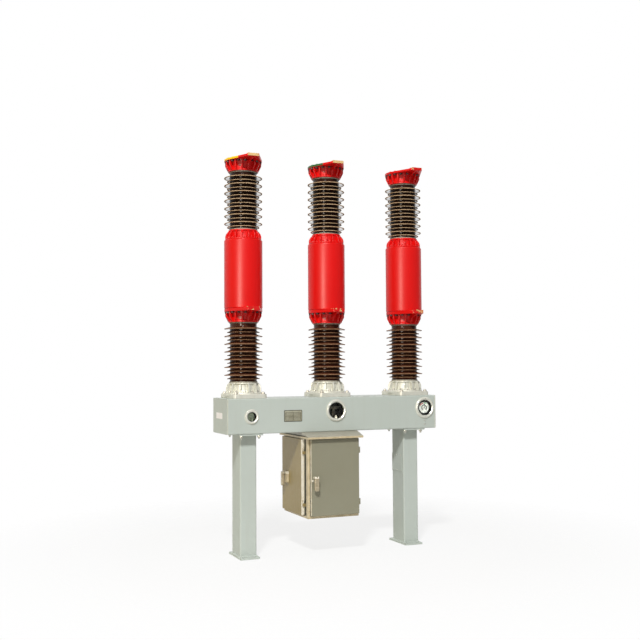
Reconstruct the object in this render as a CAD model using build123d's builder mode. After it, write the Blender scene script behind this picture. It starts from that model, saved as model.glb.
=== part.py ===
"""Outdoor three-pole gas circuit breaker on a two-legged steel frame.

Millimetres. The origin is on the ground, midway between the two feet.
+X runs along the beam, +Y to the back, +Z up. The terminals and the cabinet door face -Y.
"""

import os

from build123d import *

# Frame: a sheet-steel box beam on two square legs
beam_overhang = 184
beam_depth = 354
beam_height = 266
beam_bottom = 936
beam_sheet = 5
beam_lip = 60
beam_fold_r = 8
end_cover_t = 4
end_cover_rim = 6
cover_gap = 1
rim_gap = 0.5
leg_inset = 189
leg_width = 132
leg_depth = 196
leg_wall = 6
foot_width = 152
foot_depth = 290
foot_t = 16
anchor_spacing_x = 100
anchor_spacing_y = 246
anchor_hole_r = 9
leg_head_width = 188
leg_head_depth = 340
leg_head_t = 12
leg_cover_y = 8
leg_cover_drop = 284
leg_cover_width = 168
leg_cover_height = 146
leg_cover_corner_r = 6
leg_cover_t = 3

# Poles: three alike, from the beam's top to the line terminals
phase_spacing = 700
pole_plate_x = 264
pole_plate_y = 344
pole_plate_t = 32
pole_plate_cut = 14
pole_disc_r = 142
pole_disc_t = 12
collar_height = 74
collar_foot_r = 132
collar_head_r = 122
collar_core_r = 104
collar_ribs = 12
collar_rib_t = 11
collar_rib_rise = 0.3
collar_rib_edge = 6
rib_root = 4
lower_porcelain = 461
upper_porcelain = 452
trunk_r = 103
shed_r = 147
small_shed_r = 125
shed_pairs = 7
shed_pitch = 59.3
small_shed_drop = 27
shed_rise = 19
small_shed_rise = 13
shed_under = 5
lower_first_shed = 53
upper_first_shed = 47
bell_height = 81
bell_foot_r = 117
bell_shoulder_r = 140
bell_core_r = 111
bell_ribs = 16
bell_rib_t = 12
bell_flare = 9
bell_flare_rise = 0.25
bell_shoulder_rise = 0.6
terminal_disc_r = 146
head_plate_t = 18
lower_plate_t = 24
contact_rise = 6
contact_length = 90
terminal_width = 90
terminal_reach = 250
terminal_hole_r = 7
terminal_hole_pitch = 50
terminal_hole_margin = 20
tank_r = 147.5
tank_height = 530
tank_round = 10
crown_height = 76
crown_foot_r = 140
crown_neck_r = 117
crown_core_r = 109
crown_foot_t = 10
crown_foot_rise = 0.4
crown_shoulder_rise = 0.62
crown_rib_edge = 6
crown_rib_drop = 8

# Windows in the front of the beam
indicator_inset = 190
indicator_rise = 129
indicator_open_r = 37
indicator_rim_r = 57
viewer_x = 0
viewer_rise = 161
viewer_open_r = 65
viewer_rim_r = 86
gauge_inset = 97
gauge_rise = 166
gauge_open_r = 64
gauge_rim_r = 86
rim_t = 12
rim_step = 5
glass_t = 4
glass_gap = 0.3
can_wall = 4
can_depth = 46
viewer_can_depth = 90
dial_r = 54
viewer_bar = 12
flag_width = 44
flag_height = 30
flag_reach = 12

# Mechanism cabinet under the beam
cabinet_left = -263
cabinet_width = 424
cabinet_front = -230
cabinet_depth = 500
cabinet_height = 629
cabinet_drop = 24
cabinet_sheet = 4
roof_overhang_x = 20
roof_overhang_y = 52
roof_lip = 16
roof_edge_drop = 32
roof_skin = 2
door_t = 22
door_sheet = 3
door_seat = 0.5
door_foot_gap = 21
door_head_gap = 30
front_door_inset = 20
side_door_inset = 14
side_door_width = 406
frame_border = 20
door_corner_r = 3
hinge_pin_r = 3
hinge_clear = 0.05
hinge_wall = 2.5
hinge_length = 46
hinge_gap = 0.5
hinge_inset = 90
hinge_reach = 9.5
hinge_leaf = 28
hinge_leaf_t = 3
handle_shaft_r = 7
handle_clear = 0.05
handle_width = 34
handle_length = 112
handle_t = 14
handle_stand = 24
handle_round = 4.5
handle_neck_r = 14
handle_rise = 288
front_handle_inset = 30
side_handle_inset = 91
boss_r = 16
boss_t = 5
boss_depth = 8
boss_gap = 0.5

beam_top = beam_bottom + beam_height
half_length = phase_spacing + beam_overhang
half_depth = beam_depth / 2
leg_x = half_length - leg_inset
pole_foot_z = beam_top + pole_plate_t + pole_disc_t
lower_porcelain_z = pole_foot_z + collar_height
lower_bell_z = lower_porcelain_z + lower_porcelain
tank_z = lower_bell_z + bell_height + lower_plate_t
crown_z = tank_z + tank_height
upper_porcelain_z = crown_z + crown_height
head_z = upper_porcelain_z + upper_porcelain
cabinet_right = cabinet_left + cabinet_width
cabinet_back = cabinet_front + cabinet_depth
cabinet_top = beam_bottom - cabinet_drop
cabinet_bottom = cabinet_top - cabinet_height
roof_edge_z = beam_bottom - roof_edge_drop
door_bottom = cabinet_bottom + door_foot_gap
door_top = cabinet_top - door_head_gap
front_door_left = cabinet_left + front_door_inset
side_door_back = cabinet_back - side_door_inset
side_door_front = side_door_back - side_door_width
handle_z = door_bottom + handle_rise
barrel_r = hinge_pin_r + hinge_wall
hinge_levels = (door_bottom + hinge_inset, door_top - hinge_inset)
windows = {
    "indicator": (indicator_inset - half_length, beam_bottom + indicator_rise, indicator_open_r, indicator_rim_r),
    "viewer": (viewer_x, beam_bottom + viewer_rise, viewer_open_r, viewer_rim_r),
    "gauge": (half_length - gauge_inset, beam_bottom + gauge_rise, gauge_open_r, gauge_rim_r),
}


def keep(name, part):
    part.label = name
    export_step(part, f"parts/{name}.step")


def leg():
    """Welded leg: box tube between a foot plate and a head plate."""
    tube_top = beam_bottom - leg_head_t
    with BuildPart() as welded:
        with BuildSketch():
            Rectangle(foot_width, foot_depth)
            with GridLocations(anchor_spacing_x, anchor_spacing_y, 2, 2):
                Circle(anchor_hole_r, mode=Mode.SUBTRACT)
        extrude(amount=foot_t)
        with BuildSketch(Plane.XY.offset(foot_t)):
            Rectangle(leg_width, leg_depth)
            Rectangle(leg_width - 2 * leg_wall, leg_depth - 2 * leg_wall, mode=Mode.SUBTRACT)
        extrude(amount=tube_top - foot_t)
        with BuildSketch(Plane.XY.offset(tube_top)):
            Rectangle(leg_head_width, leg_head_depth)
        extrude(amount=leg_head_t)
    return welded.part


def beam_shell():
    """Folded sheet beam: top, front and back walls with inward bottom lips."""
    inner_depth = beam_depth - 2 * beam_sheet
    with BuildPart() as shell:
        with BuildSketch(Plane.YZ.offset(-half_length)):
            with Locations((0, beam_bottom + beam_height / 2)):
                RectangleRounded(beam_depth, beam_height, beam_fold_r)
                Rectangle(inner_depth, beam_height - 2 * beam_sheet, mode=Mode.SUBTRACT)
            with Locations((0, beam_bottom + beam_sheet / 2)):
                Rectangle(inner_depth - 2 * beam_lip, beam_sheet, mode=Mode.SUBTRACT)
        extrude(amount=2 * half_length)
        for x, z, open_r, rim_r in windows.values():
            with BuildSketch(Plane.XZ.offset(half_depth)):
                with Locations((x, z)):
                    Circle(open_r)
            extrude(amount=-beam_sheet, mode=Mode.SUBTRACT)
    return shell.part


def beam_bottom_cover():
    """Flat plate inside the beam, resting on its bottom lips."""
    with BuildPart() as plate:
        with BuildSketch(Plane.XY.offset(beam_bottom + beam_sheet)):
            Rectangle(2 * (half_length - end_cover_rim - cover_gap), beam_depth - 2 * (beam_sheet + cover_gap))
        extrude(amount=beam_sheet)
    return plate.part


def end_cover(side):
    """Flanged plate closing one end of the beam."""
    inner_depth = beam_depth - 2 * beam_sheet - 2 * rim_gap
    inner_height = beam_height - 3 * beam_sheet - 2 * rim_gap
    middle = beam_bottom + 2 * beam_sheet + rim_gap + inner_height / 2
    with BuildPart() as cover:
        with BuildSketch(Plane.YZ.offset(side * half_length)):
            with Locations((0, beam_bottom + beam_height / 2)):
                RectangleRounded(beam_depth, beam_height, beam_fold_r)
        extrude(amount=side * end_cover_t)
        with BuildSketch(Plane.YZ.offset(side * half_length)):
            with Locations((0, middle)):
                Rectangle(inner_depth, inner_height)
                offset(amount=-end_cover_t, kind=Kind.INTERSECTION, mode=Mode.SUBTRACT)
        extrude(amount=-side * end_cover_rim)
    return cover.part


def window_rim(x, z, open_r, rim_r):
    """Bevelled ring round a window, with a step that holds the glass."""
    with BuildPart() as rim:
        with BuildSketch(Plane.XZ.offset(half_depth)):
            with Locations((x, z)):
                Circle(rim_r)
        extrude(amount=rim_t)
        chamfer(rim.faces().sort_by(Axis.Y)[0].edges(), length=rim_t / 2)
        with BuildSketch(Plane.XZ.offset(half_depth + rim_t)):
            with Locations((x, z)):
                Circle(open_r - rim_step)
        extrude(amount=-rim_t, mode=Mode.SUBTRACT)
        with BuildSketch(Plane.XZ.offset(half_depth)):
            with Locations((x, z)):
                Circle(open_r)
        extrude(amount=glass_t, mode=Mode.SUBTRACT)
    return rim.part


def window_glass(x, z, open_r):
    """Round pane between the ring's step and the beam."""
    with BuildPart() as pane:
        with BuildSketch(Plane.XZ.offset(half_depth)):
            with Locations((x, z)):
                Circle(open_r - glass_gap)
        extrude(amount=glass_t)
    return pane.part


def porcelain(bottom, length, first_shed):
    """Solid of revolution with alternating large and small sheds."""
    profile = [(0, bottom), (trunk_r, bottom)]
    for pair in range(shed_pairs):
        large = bottom + first_shed + pair * shed_pitch
        small = large - small_shed_drop
        profile += [(trunk_r, small + shed_under), (small_shed_r, small), (trunk_r, small + small_shed_rise)]
        profile += [(trunk_r, large + shed_under), (shed_r, large), (trunk_r, large + shed_rise)]
    profile += [(trunk_r, bottom + length), (0, bottom + length)]
    with BuildPart() as body:
        with BuildSketch(Plane.XZ):
            with BuildLine():
                Polyline(*profile, close=True)
            make_face()
        revolve(axis=Axis.Z)
    return body.part


def rib(outline, thickness):
    """One upright rib on the XZ plane."""
    with BuildPart() as plate:
        with BuildSketch(Plane.XZ):
            with BuildLine():
                Polyline(*outline, close=True)
            make_face()
        extrude(amount=thickness / 2, both=True)
    return plate.part


def pole_base():
    """Silver foot casting: plate, disc and a collar with buttress ribs."""
    foot = pole_foot_z
    head = foot + collar_height
    outline = [
        (collar_core_r - rib_root, foot),
        (collar_foot_r, foot),
        (collar_foot_r, foot + collar_height * collar_rib_rise),
        (collar_head_r, head - collar_rib_edge),
        (collar_head_r - collar_rib_edge, head),
        (collar_core_r - rib_root, head),
    ]
    buttress = rib(outline, collar_rib_t)
    with BuildPart() as base:
        with BuildSketch(Plane.XY.offset(beam_top)):
            plate = Rectangle(pole_plate_x, pole_plate_y)
            chamfer(plate.vertices(), pole_plate_cut)
        extrude(amount=pole_plate_t)
        with BuildSketch(Plane.XY.offset(beam_top + pole_plate_t)):
            Circle(pole_disc_r)
        extrude(amount=pole_disc_t)
        with BuildSketch(Plane.XY.offset(foot)):
            Circle(collar_core_r)
        extrude(amount=collar_height)
        with PolarLocations(0, collar_ribs):
            add(buttress)
    return base.part


def bell(bottom, plate_t):
    """Ribbed bell that widens upwards under a terminal plate, whose tapered tongue ends in a raised contact."""
    top = bottom + bell_height
    outline = [
        (bell_core_r - rib_root, bottom),
        (bell_foot_r, bottom),
        (bell_foot_r + bell_flare, bottom + bell_height * bell_flare_rise),
        (bell_shoulder_r, bottom + bell_height * bell_shoulder_rise),
        (bell_shoulder_r, top),
        (bell_core_r - rib_root, top),
    ]
    bell_rib = rib(outline, bell_rib_t)
    with BuildPart() as casting:
        with BuildSketch(Plane.XY.offset(bottom)):
            Circle(bell_core_r)
        extrude(amount=bell_height)
        with PolarLocations(0, bell_ribs):
            add(bell_rib)
        with BuildSketch(Plane.XY.offset(top)):
            Circle(terminal_disc_r)
            with Locations((0, contact_length / 2 - terminal_reach)):
                Rectangle(terminal_width, contact_length)
            make_hull()
        extrude(amount=plate_t)
        with BuildSketch(Plane.XY.offset(top + plate_t)):
            with Locations((0, contact_length / 2 - terminal_reach)):
                Rectangle(terminal_width, contact_length)
        extrude(amount=contact_rise)
        with BuildSketch(Plane.XY.offset(top)):
            with Locations((0, terminal_hole_pitch / 2 + terminal_hole_margin - terminal_reach)):
                with GridLocations(terminal_hole_pitch, terminal_hole_pitch, 2, 2):
                    Circle(terminal_hole_r)
        extrude(amount=plate_t + contact_rise, mode=Mode.SUBTRACT)
    return casting.part


def tank():
    """Smooth painted cylinder round the interrupter."""
    with BuildPart() as cylinder:
        with BuildSketch(Plane.XY.offset(tank_z)):
            Circle(tank_r)
        extrude(amount=tank_height)
        fillet(cylinder.edges().filter_by(GeomType.CIRCLE), radius=tank_round)
    return cylinder.part


def crown():
    """Ribbed flange on the tank, with rounded shoulders."""
    top = crown_z + crown_height
    outline = [
        (crown_core_r - rib_root, crown_z),
        (crown_foot_r, crown_z),
        (crown_foot_r, crown_z + crown_height * crown_foot_rise),
        (crown_foot_r - crown_rib_edge, crown_z + crown_height * crown_shoulder_rise),
        (crown_neck_r, top - crown_rib_drop),
        (crown_core_r - rib_root, top - crown_rib_drop),
    ]
    crown_rib = rib(outline, bell_rib_t)
    with BuildPart() as casting:
        with BuildSketch(Plane.XY.offset(crown_z)):
            Circle(crown_foot_r)
        extrude(amount=crown_foot_t)
        with BuildSketch(Plane.XY.offset(crown_z)):
            Circle(crown_core_r)
        extrude(amount=crown_height)
        with PolarLocations(0, bell_ribs):
            add(crown_rib)
    return casting.part


def cabinet_body():
    """Sheet cabinet, open at the front and the left behind its doors."""
    middle = (cabinet_left + cabinet_width / 2, cabinet_front + cabinet_depth / 2)
    inner_height = cabinet_top - cabinet_bottom - 2 * cabinet_sheet
    opening_z = (door_bottom + door_top) / 2
    opening_height = door_top - door_bottom - 2 * frame_border
    front_left = front_door_left + frame_border
    front_right = cabinet_right - frame_border
    side_front = side_door_front + frame_border
    side_back = cabinet_back - frame_border
    with BuildPart() as body:
        with BuildSketch(Plane.XY.offset(cabinet_bottom)):
            with Locations(middle):
                Rectangle(cabinet_width, cabinet_depth)
        extrude(amount=cabinet_top - cabinet_bottom)
        with BuildSketch(Plane.XY.offset(cabinet_bottom + cabinet_sheet)):
            with Locations(middle):
                Rectangle(cabinet_width - 2 * cabinet_sheet, cabinet_depth - 2 * cabinet_sheet)
        extrude(amount=inner_height, mode=Mode.SUBTRACT)
        with BuildSketch(Plane.XZ.offset(-cabinet_front)):
            with Locations(((front_left + front_right) / 2, opening_z)):
                Rectangle(front_right - front_left, opening_height)
        extrude(amount=-cabinet_sheet, mode=Mode.SUBTRACT)
        with BuildSketch(Plane.YZ.offset(cabinet_left)):
            with Locations(((side_front + side_back) / 2, opening_z)):
                Rectangle(side_back - side_front, opening_height)
        extrude(amount=cabinet_sheet, mode=Mode.SUBTRACT)
    return body.part


def cabinet_roof():
    """Rain roof between the cabinet and the beam, sloping to the front and back."""
    lip_z = roof_edge_z - roof_lip
    front = cabinet_front - roof_overhang_y
    back = cabinet_back + roof_overhang_y
    outline = [
        (front, lip_z),
        (front, roof_edge_z),
        (-half_depth, beam_bottom),
        (half_depth, beam_bottom),
        (back, roof_edge_z),
        (back, lip_z),
        (back - cabinet_sheet, lip_z),
        (back - cabinet_sheet, roof_edge_z - roof_skin),
        (cabinet_back, cabinet_top),
        (cabinet_front, cabinet_top),
        (front + cabinet_sheet, roof_edge_z - roof_skin),
        (front + cabinet_sheet, lip_z),
    ]
    with BuildPart() as roof:
        with BuildSketch(Plane.YZ.offset(cabinet_left - roof_overhang_x)):
            with BuildLine():
                Polyline(*outline, close=True)
            make_face()
        extrude(amount=cabinet_width + 2 * roof_overhang_x)
    return roof.part


def leg_cover():
    """Wiring cover on the inner face of the right leg."""
    with BuildPart() as plate:
        with BuildSketch(Plane.YZ.offset(leg_x - leg_width / 2)):
            with Locations((leg_cover_y, beam_bottom - leg_cover_drop)):
                RectangleRounded(leg_cover_width, leg_cover_height, leg_cover_corner_r)
        extrude(amount=-leg_cover_t)
    return plate.part


def door(width, handle_inset):
    """Folded tray hinged on the origin's upright axis, reaching along -X, with its outer face at -Y."""
    height = door_top - door_bottom
    middle = (-hinge_reach - width / 2, (door_bottom + door_top) / 2)
    handle_x = handle_inset - hinge_reach - width
    with BuildPart() as tray:
        with BuildSketch(Plane.XZ.offset(door_t / 2)):
            with Locations(middle):
                RectangleRounded(width, height, door_corner_r)
        extrude(amount=-door_t)
        with BuildSketch(Plane.XZ.offset(-door_t / 2)):
            with Locations(middle):
                Rectangle(width - 2 * door_sheet, height - 2 * door_sheet)
        extrude(amount=door_t - door_sheet, mode=Mode.SUBTRACT)
        with BuildSketch(Plane.XZ.offset(door_t / 2)):
            with Locations((handle_x, handle_z)):
                Circle(boss_r)
        extrude(amount=boss_t)
        with BuildSketch(Plane.XZ.offset(door_t / 2 - door_sheet)):
            with Locations((handle_x, handle_z)):
                Circle(boss_r)
        extrude(amount=-boss_depth)
        for level in hinge_levels:
            with BuildSketch(Plane.XY.offset(level)):
                Circle(barrel_r)
                with Locations((-(hinge_reach + door_sheet) / 2, 0)):
                    Rectangle(hinge_reach + door_sheet, 2 * hinge_pin_r)
            extrude(amount=hinge_length / 2)
            with BuildSketch(Plane.XY.offset(level)):
                Circle(hinge_pin_r + hinge_clear)
            extrude(amount=hinge_length / 2, mode=Mode.SUBTRACT)
        with BuildSketch(Plane.XZ.offset(door_t / 2 + boss_t)):
            with Locations((handle_x, handle_z)):
                Circle(handle_shaft_r + handle_clear)
        extrude(amount=-(boss_t + door_sheet + boss_depth), mode=Mode.SUBTRACT)
    return tray.part


def handle(width, handle_inset):
    """Turning lever on a shaft through the door, hanging down when shut."""
    handle_x = handle_inset - hinge_reach - width
    face = door_t / 2 + boss_t + handle_stand
    half_width = handle_width / 2
    with BuildPart() as lever:
        with BuildSketch(Plane.XZ.offset(face)):
            with Locations((handle_x, handle_z - handle_length / 2 + half_width)):
                SlotOverall(handle_length, handle_width, rotation=90)
        extrude(amount=handle_t)
        fillet(lever.faces().sort_by(Axis.Y)[0].edges(), radius=handle_round)
        with BuildSketch(Plane.XZ.offset(face)):
            with Locations((handle_x, handle_z)):
                Circle(handle_shaft_r)
        extrude(amount=-(handle_stand + boss_t + door_sheet + boss_depth))
        with BuildSketch(Plane.XZ.offset(face)):
            with Locations((handle_x, handle_z)):
                Circle(handle_neck_r)
        extrude(amount=-(handle_stand - boss_gap))
    return lever.part


def fixed_hinges(leaves):
    """Two lower barrels with their pins on the origin's upright axis, and the leaves that carry them."""
    with BuildPart() as pins:
        for level in hinge_levels:
            with BuildSketch(Plane.XY.offset(level - hinge_length / 2)):
                Circle(barrel_r)
                for x, y, width, depth in leaves:
                    with Locations((x, y)):
                        Rectangle(width, depth, align=(Align.MIN, Align.MIN))
            extrude(amount=hinge_length / 2 - hinge_gap)
            with BuildSketch(Plane.XY.offset(level - hinge_length / 2)):
                Circle(hinge_pin_r)
            extrude(amount=hinge_length)
    return pins.part


def can(x, z, open_r, depth, content):
    """Dark cup behind a window, fixed to the inside of the beam's front wall, with its content on the floor."""
    with BuildPart() as cup:
        with BuildSketch(Plane.XZ.offset(half_depth - beam_sheet)):
            with Locations((x, z)):
                Circle(open_r + can_wall)
        extrude(amount=-depth)
        with BuildSketch(Plane.XZ.offset(half_depth - beam_sheet)):
            with Locations((x, z)):
                Circle(open_r)
        extrude(amount=-(depth - can_wall), mode=Mode.SUBTRACT)
        with BuildSketch(Plane.XZ.offset(half_depth - beam_sheet - depth + can_wall)):
            with Locations((x, z)):
                add(content)
        extrude(amount=flag_reach)
    return cup.part


os.makedirs("parts", exist_ok=True)

for side, name in ((-1, "left"), (1, "right")):
    keep(f"{name}_leg", leg().moved(Location((side * leg_x, 0, 0))))
    keep(f"{name}_end_cover", end_cover(side))
keep("beam_shell", beam_shell())
keep("beam_bottom_cover", beam_bottom_cover())

cans = {
    "indicator": (can_depth, Sketch() + Rectangle(flag_width, flag_height)),
    "viewer": (viewer_can_depth, Sketch() + Rectangle(2 * viewer_open_r, viewer_bar)),
    "gauge": (can_depth, Sketch() + Circle(dial_r)),
}
for name, (x, z, open_r, rim_r) in windows.items():
    keep(f"{name}_rim", window_rim(x, z, open_r, rim_r))
    keep(f"{name}_glass", window_glass(x, z, open_r))
    keep(f"{name}_can", can(x, z, open_r, *cans[name]))

for number, name in enumerate(("left", "middle", "right")):
    place = Location(((number - 1) * phase_spacing, 0, 0))
    keep(f"{name}_pole_base", pole_base().moved(place))
    column = porcelain(lower_porcelain_z, lower_porcelain, lower_first_shed)
    keep(f"{name}_lower_porcelain", column.moved(place))
    keep(f"{name}_lower_terminal", bell(lower_bell_z, lower_plate_t).moved(place))
    keep(f"{name}_tank", tank().moved(place))
    keep(f"{name}_tank_crown", crown().moved(place))
    column = porcelain(upper_porcelain_z, upper_porcelain, upper_first_shed)
    keep(f"{name}_upper_porcelain", column.moved(place))
    keep(f"{name}_head", bell(head_z, head_plate_t).moved(place))

keep("cabinet_body", cabinet_body())
keep("cabinet_roof", cabinet_roof())

keep("leg_cover", leg_cover())

wall_gap = door_seat + door_t / 2
front_hinge_x = cabinet_right + barrel_r
front_width = front_hinge_x - hinge_reach - front_door_left
front_place = Location((front_hinge_x, cabinet_front - wall_gap, 0))
front_leaf = [(-barrel_r, 0, barrel_r, wall_gap + hinge_leaf)]
side_place = Location((cabinet_left - wall_gap, side_door_front - hinge_reach, 0), (0, 0, -90))
side_leaf = [
    (-hinge_pin_r, 0, 2 * hinge_pin_r, wall_gap),
    (-hinge_pin_r, wall_gap - hinge_leaf_t, hinge_leaf, hinge_leaf_t),
]
for name, width, inset, place, leaf in (
    ("front", front_width, front_handle_inset, front_place, front_leaf),
    ("side", side_door_width, side_handle_inset, side_place, side_leaf),
):
    keep(f"{name}_door", door(width, inset).moved(place))
    keep(f"{name}_handle", handle(width, inset).moved(place))
    keep(f"{name}_hinges", fixed_hinges(leaf).moved(place))
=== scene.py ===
import math

import bmesh
import bpy
from mathutils import Matrix, Vector


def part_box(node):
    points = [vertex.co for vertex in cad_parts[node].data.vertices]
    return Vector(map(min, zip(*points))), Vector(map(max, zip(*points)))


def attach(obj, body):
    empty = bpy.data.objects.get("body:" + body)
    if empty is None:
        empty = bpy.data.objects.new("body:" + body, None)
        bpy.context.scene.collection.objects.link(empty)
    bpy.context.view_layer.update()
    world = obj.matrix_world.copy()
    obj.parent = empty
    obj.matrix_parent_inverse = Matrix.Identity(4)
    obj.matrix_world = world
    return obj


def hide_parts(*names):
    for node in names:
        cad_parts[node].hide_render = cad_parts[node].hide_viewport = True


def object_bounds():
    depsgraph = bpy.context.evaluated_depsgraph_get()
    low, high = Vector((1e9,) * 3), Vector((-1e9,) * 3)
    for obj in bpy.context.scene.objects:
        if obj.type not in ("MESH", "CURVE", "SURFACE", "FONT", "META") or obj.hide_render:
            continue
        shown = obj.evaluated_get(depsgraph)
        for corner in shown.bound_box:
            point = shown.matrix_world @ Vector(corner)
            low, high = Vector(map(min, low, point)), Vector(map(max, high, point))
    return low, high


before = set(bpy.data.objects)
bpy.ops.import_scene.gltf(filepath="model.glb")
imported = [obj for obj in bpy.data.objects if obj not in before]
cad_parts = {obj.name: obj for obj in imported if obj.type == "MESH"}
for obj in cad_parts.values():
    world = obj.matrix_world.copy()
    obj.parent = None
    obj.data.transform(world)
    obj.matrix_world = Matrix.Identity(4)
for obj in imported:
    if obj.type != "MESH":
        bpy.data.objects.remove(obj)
cadLow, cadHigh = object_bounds()
poles = ("left", "middle", "right")


def middleOf(node):
    low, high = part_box(node)
    return (Vector(low) + Vector(high)) / 2


poleX = {pole: middleOf(f"{pole}_tank").x for pole in poles}
beamLow, beamHigh = [Vector(corner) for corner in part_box("beam_shell")]
print("frame loaded")


def focus(*pieces):
    if bpy.context.mode != "OBJECT":
        bpy.ops.object.mode_set(mode="OBJECT")
    bpy.ops.object.select_all(action="DESELECT")
    for piece in pieces:
        piece.select_set(True)
    if pieces:
        bpy.context.view_layer.objects.active = pieces[0]


def called(piece, name):
    piece.name = name
    piece.data.name = name
    return piece


def settle(piece):  # the place goes into the mesh
    focus(piece)
    bpy.ops.object.transform_apply(location=True, rotation=True, scale=True)
    return piece


def mend(piece, gap=0.00001):  # merge doubles, then point the faces outwards
    focus(piece)
    bpy.ops.object.mode_set(mode="EDIT")
    bpy.ops.mesh.select_all(action="SELECT")
    bpy.ops.mesh.remove_doubles(threshold=gap)
    bpy.ops.mesh.normals_make_consistent(inside=False)
    bpy.ops.object.mode_set(mode="OBJECT")
    return piece


def modify(piece, kind, **settings):
    focus(piece)
    modifier = piece.modifiers.new(kind, kind)
    for setting, value in settings.items():
        setattr(modifier, setting, value)
    bpy.ops.object.modifier_apply(modifier=modifier.name)
    return piece


def roundEdges(piece, width, segments=2, angle=30):
    return modify(piece, "BEVEL", width=width, segments=segments,
                  limit_method="ANGLE", angle_limit=math.radians(angle))


def shade(piece, angle=35):
    focus(piece)
    bpy.ops.object.shade_smooth_by_angle(angle=math.radians(angle))
    return piece


def flatFaces(piece):  # the rounded edges take the shading, the wide faces stay flat
    return modify(shade(piece), "WEIGHTED_NORMAL", keep_sharp=True, weight=100)


def joined(name, pieces):
    focus(*pieces)
    if len(pieces) > 1:
        bpy.ops.object.join()
    return called(bpy.context.object, name)


def copied(piece, name, move=(0, 0, 0), turn=0, about=(0, 0, 0), axis="Z"):
    focus(piece)
    bpy.ops.object.duplicate(linked=False)
    twin = called(bpy.context.object, name)
    centre = Matrix.Translation(about)
    spin = centre @ Matrix.Rotation(turn, 4, axis) @ centre.inverted()
    twin.matrix_world = Matrix.Translation(move) @ spin @ twin.matrix_world
    return settle(twin)


def circleOf(piece, count, about=(0, 0, 0), axis="Z"):
    twins = [copied(piece, f"{piece.name}{number}", turn=number * 2 * math.pi / count, about=about, axis=axis)
             for number in range(1, count)]
    return joined(piece.name, [piece] + twins)


def drawLine(points):  # a single vertex, extruded from point to point
    focus()
    bpy.ops.mesh.primitive_plane_add(size=0.01, location=points[0])
    bpy.ops.object.mode_set(mode="EDIT")
    bpy.ops.mesh.select_all(action="SELECT")
    bpy.ops.mesh.merge(type="CENTER")
    for last, point in zip(points, points[1:]):
        step = Vector(point) - Vector(last)
        bpy.ops.mesh.extrude_vertices_move(TRANSFORM_OT_translate={"value": step})
    bpy.ops.mesh.select_all(action="SELECT")
    return bpy.context.object


def softened(corners, steps=3):  # each corner is (radius, height, rounding)
    path = []
    for number, (across, up, rounding) in enumerate(corners):
        here = Vector((across, up))
        if not rounding or number in (0, len(corners) - 1):
            path.append(here)
            continue
        back = Vector(corners[number - 1][:2]) - here
        ahead = Vector(corners[number + 1][:2]) - here
        reach = rounding / math.tan(back.angle(ahead) / 2)
        reach = min(reach, back.length * 0.48, ahead.length * 0.48)
        start = here + back.normalized() * reach
        end = here + ahead.normalized() * reach
        for step in range(steps + 1):
            t = step / steps
            path.append(start * (1 - t) ** 2 + here * 2 * t * (1 - t) + end * t ** 2)
    return path


def turned(name, corners, segments=80, steps=3):  # a profile spun about the upright axis
    line = drawLine([(point.x, 0, point.y) for point in softened(corners, steps)])
    bpy.ops.mesh.spin(steps=segments, angle=2 * math.pi, center=(0, 0, 0), axis=(0, 0, 1))
    bpy.ops.object.mode_set(mode="OBJECT")
    return shade(mend(settle(called(line, name))))


def pushed(name, points, push, rounding, segments):  # an outline, filled and extruded
    plate = drawLine(points)
    bpy.ops.mesh.edge_face_add()
    bpy.ops.mesh.extrude_region_move(TRANSFORM_OT_translate={"value": push})
    bpy.ops.object.mode_set(mode="OBJECT")
    mend(settle(called(plate, name)))
    if rounding:
        roundEdges(plate, rounding, segments)
    return flatFaces(plate)


def slab(name, outline, thickness, rounding=0, segments=2):  # upright, drawn on the XZ plane
    return pushed(name, [(x, -thickness / 2, z) for x, z in outline], (0, thickness, 0), rounding, segments)


def flatPlate(name, outline, low, high, rounding=0.0, segments=2):  # level, drawn on the XY plane
    return pushed(name, [(x, y, low) for x, y in outline], (0, 0, high - low), rounding, segments)


def block(name, low, high, rounding=0.0, segments=2):
    focus()
    low, high = Vector(low), Vector(high)
    bpy.ops.mesh.primitive_cube_add(size=1, location=(low + high) / 2, scale=high - low)
    box = settle(called(bpy.context.object, name))
    if rounding:
        roundEdges(box, rounding, segments)
    return flatFaces(box)


def rod(name, start, end, radius, rounding=0.0, sides=24):
    focus()
    start, end = Vector(start), Vector(end)
    turn = (end - start).to_track_quat("Z", "Y").to_euler()
    bpy.ops.mesh.primitive_cylinder_add(vertices=sides, radius=radius, depth=(end - start).length,
                                        location=(start + end) / 2, rotation=turn)
    bar = settle(called(bpy.context.object, name))
    if rounding:
        roundEdges(bar, rounding, 2, 50)
    return shade(bar)


def roundUpright(piece, width, segments, least):  # only the edges that climb more than this
    focus(piece)
    bpy.ops.object.mode_set(mode="EDIT")
    bpy.ops.mesh.select_all(action="DESELECT")
    bpy.ops.mesh.select_mode(type="EDGE")
    edges = bmesh.from_edit_mesh(piece.data)
    for edge in edges.edges:
        edge.select = abs(edge.verts[0].co.z - edge.verts[1].co.z) > least
    bmesh.update_edit_mesh(piece.data)
    bpy.ops.mesh.bevel(offset=width, segments=segments)
    bpy.ops.mesh.select_mode(type="VERT")
    bpy.ops.object.mode_set(mode="OBJECT")


def drilled(piece, cutters):
    for cutter in cutters:
        modify(piece, "BOOLEAN", object=cutter, operation="DIFFERENCE", solver="EXACT")
        bpy.data.objects.remove(cutter)
    return flatFaces(piece)


def betweenRibs(look, radius, level):  # half a step round from the first rib
    angle = math.pi / look["ribs"]
    return radius * math.cos(angle), radius * math.sin(angle), level


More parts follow.
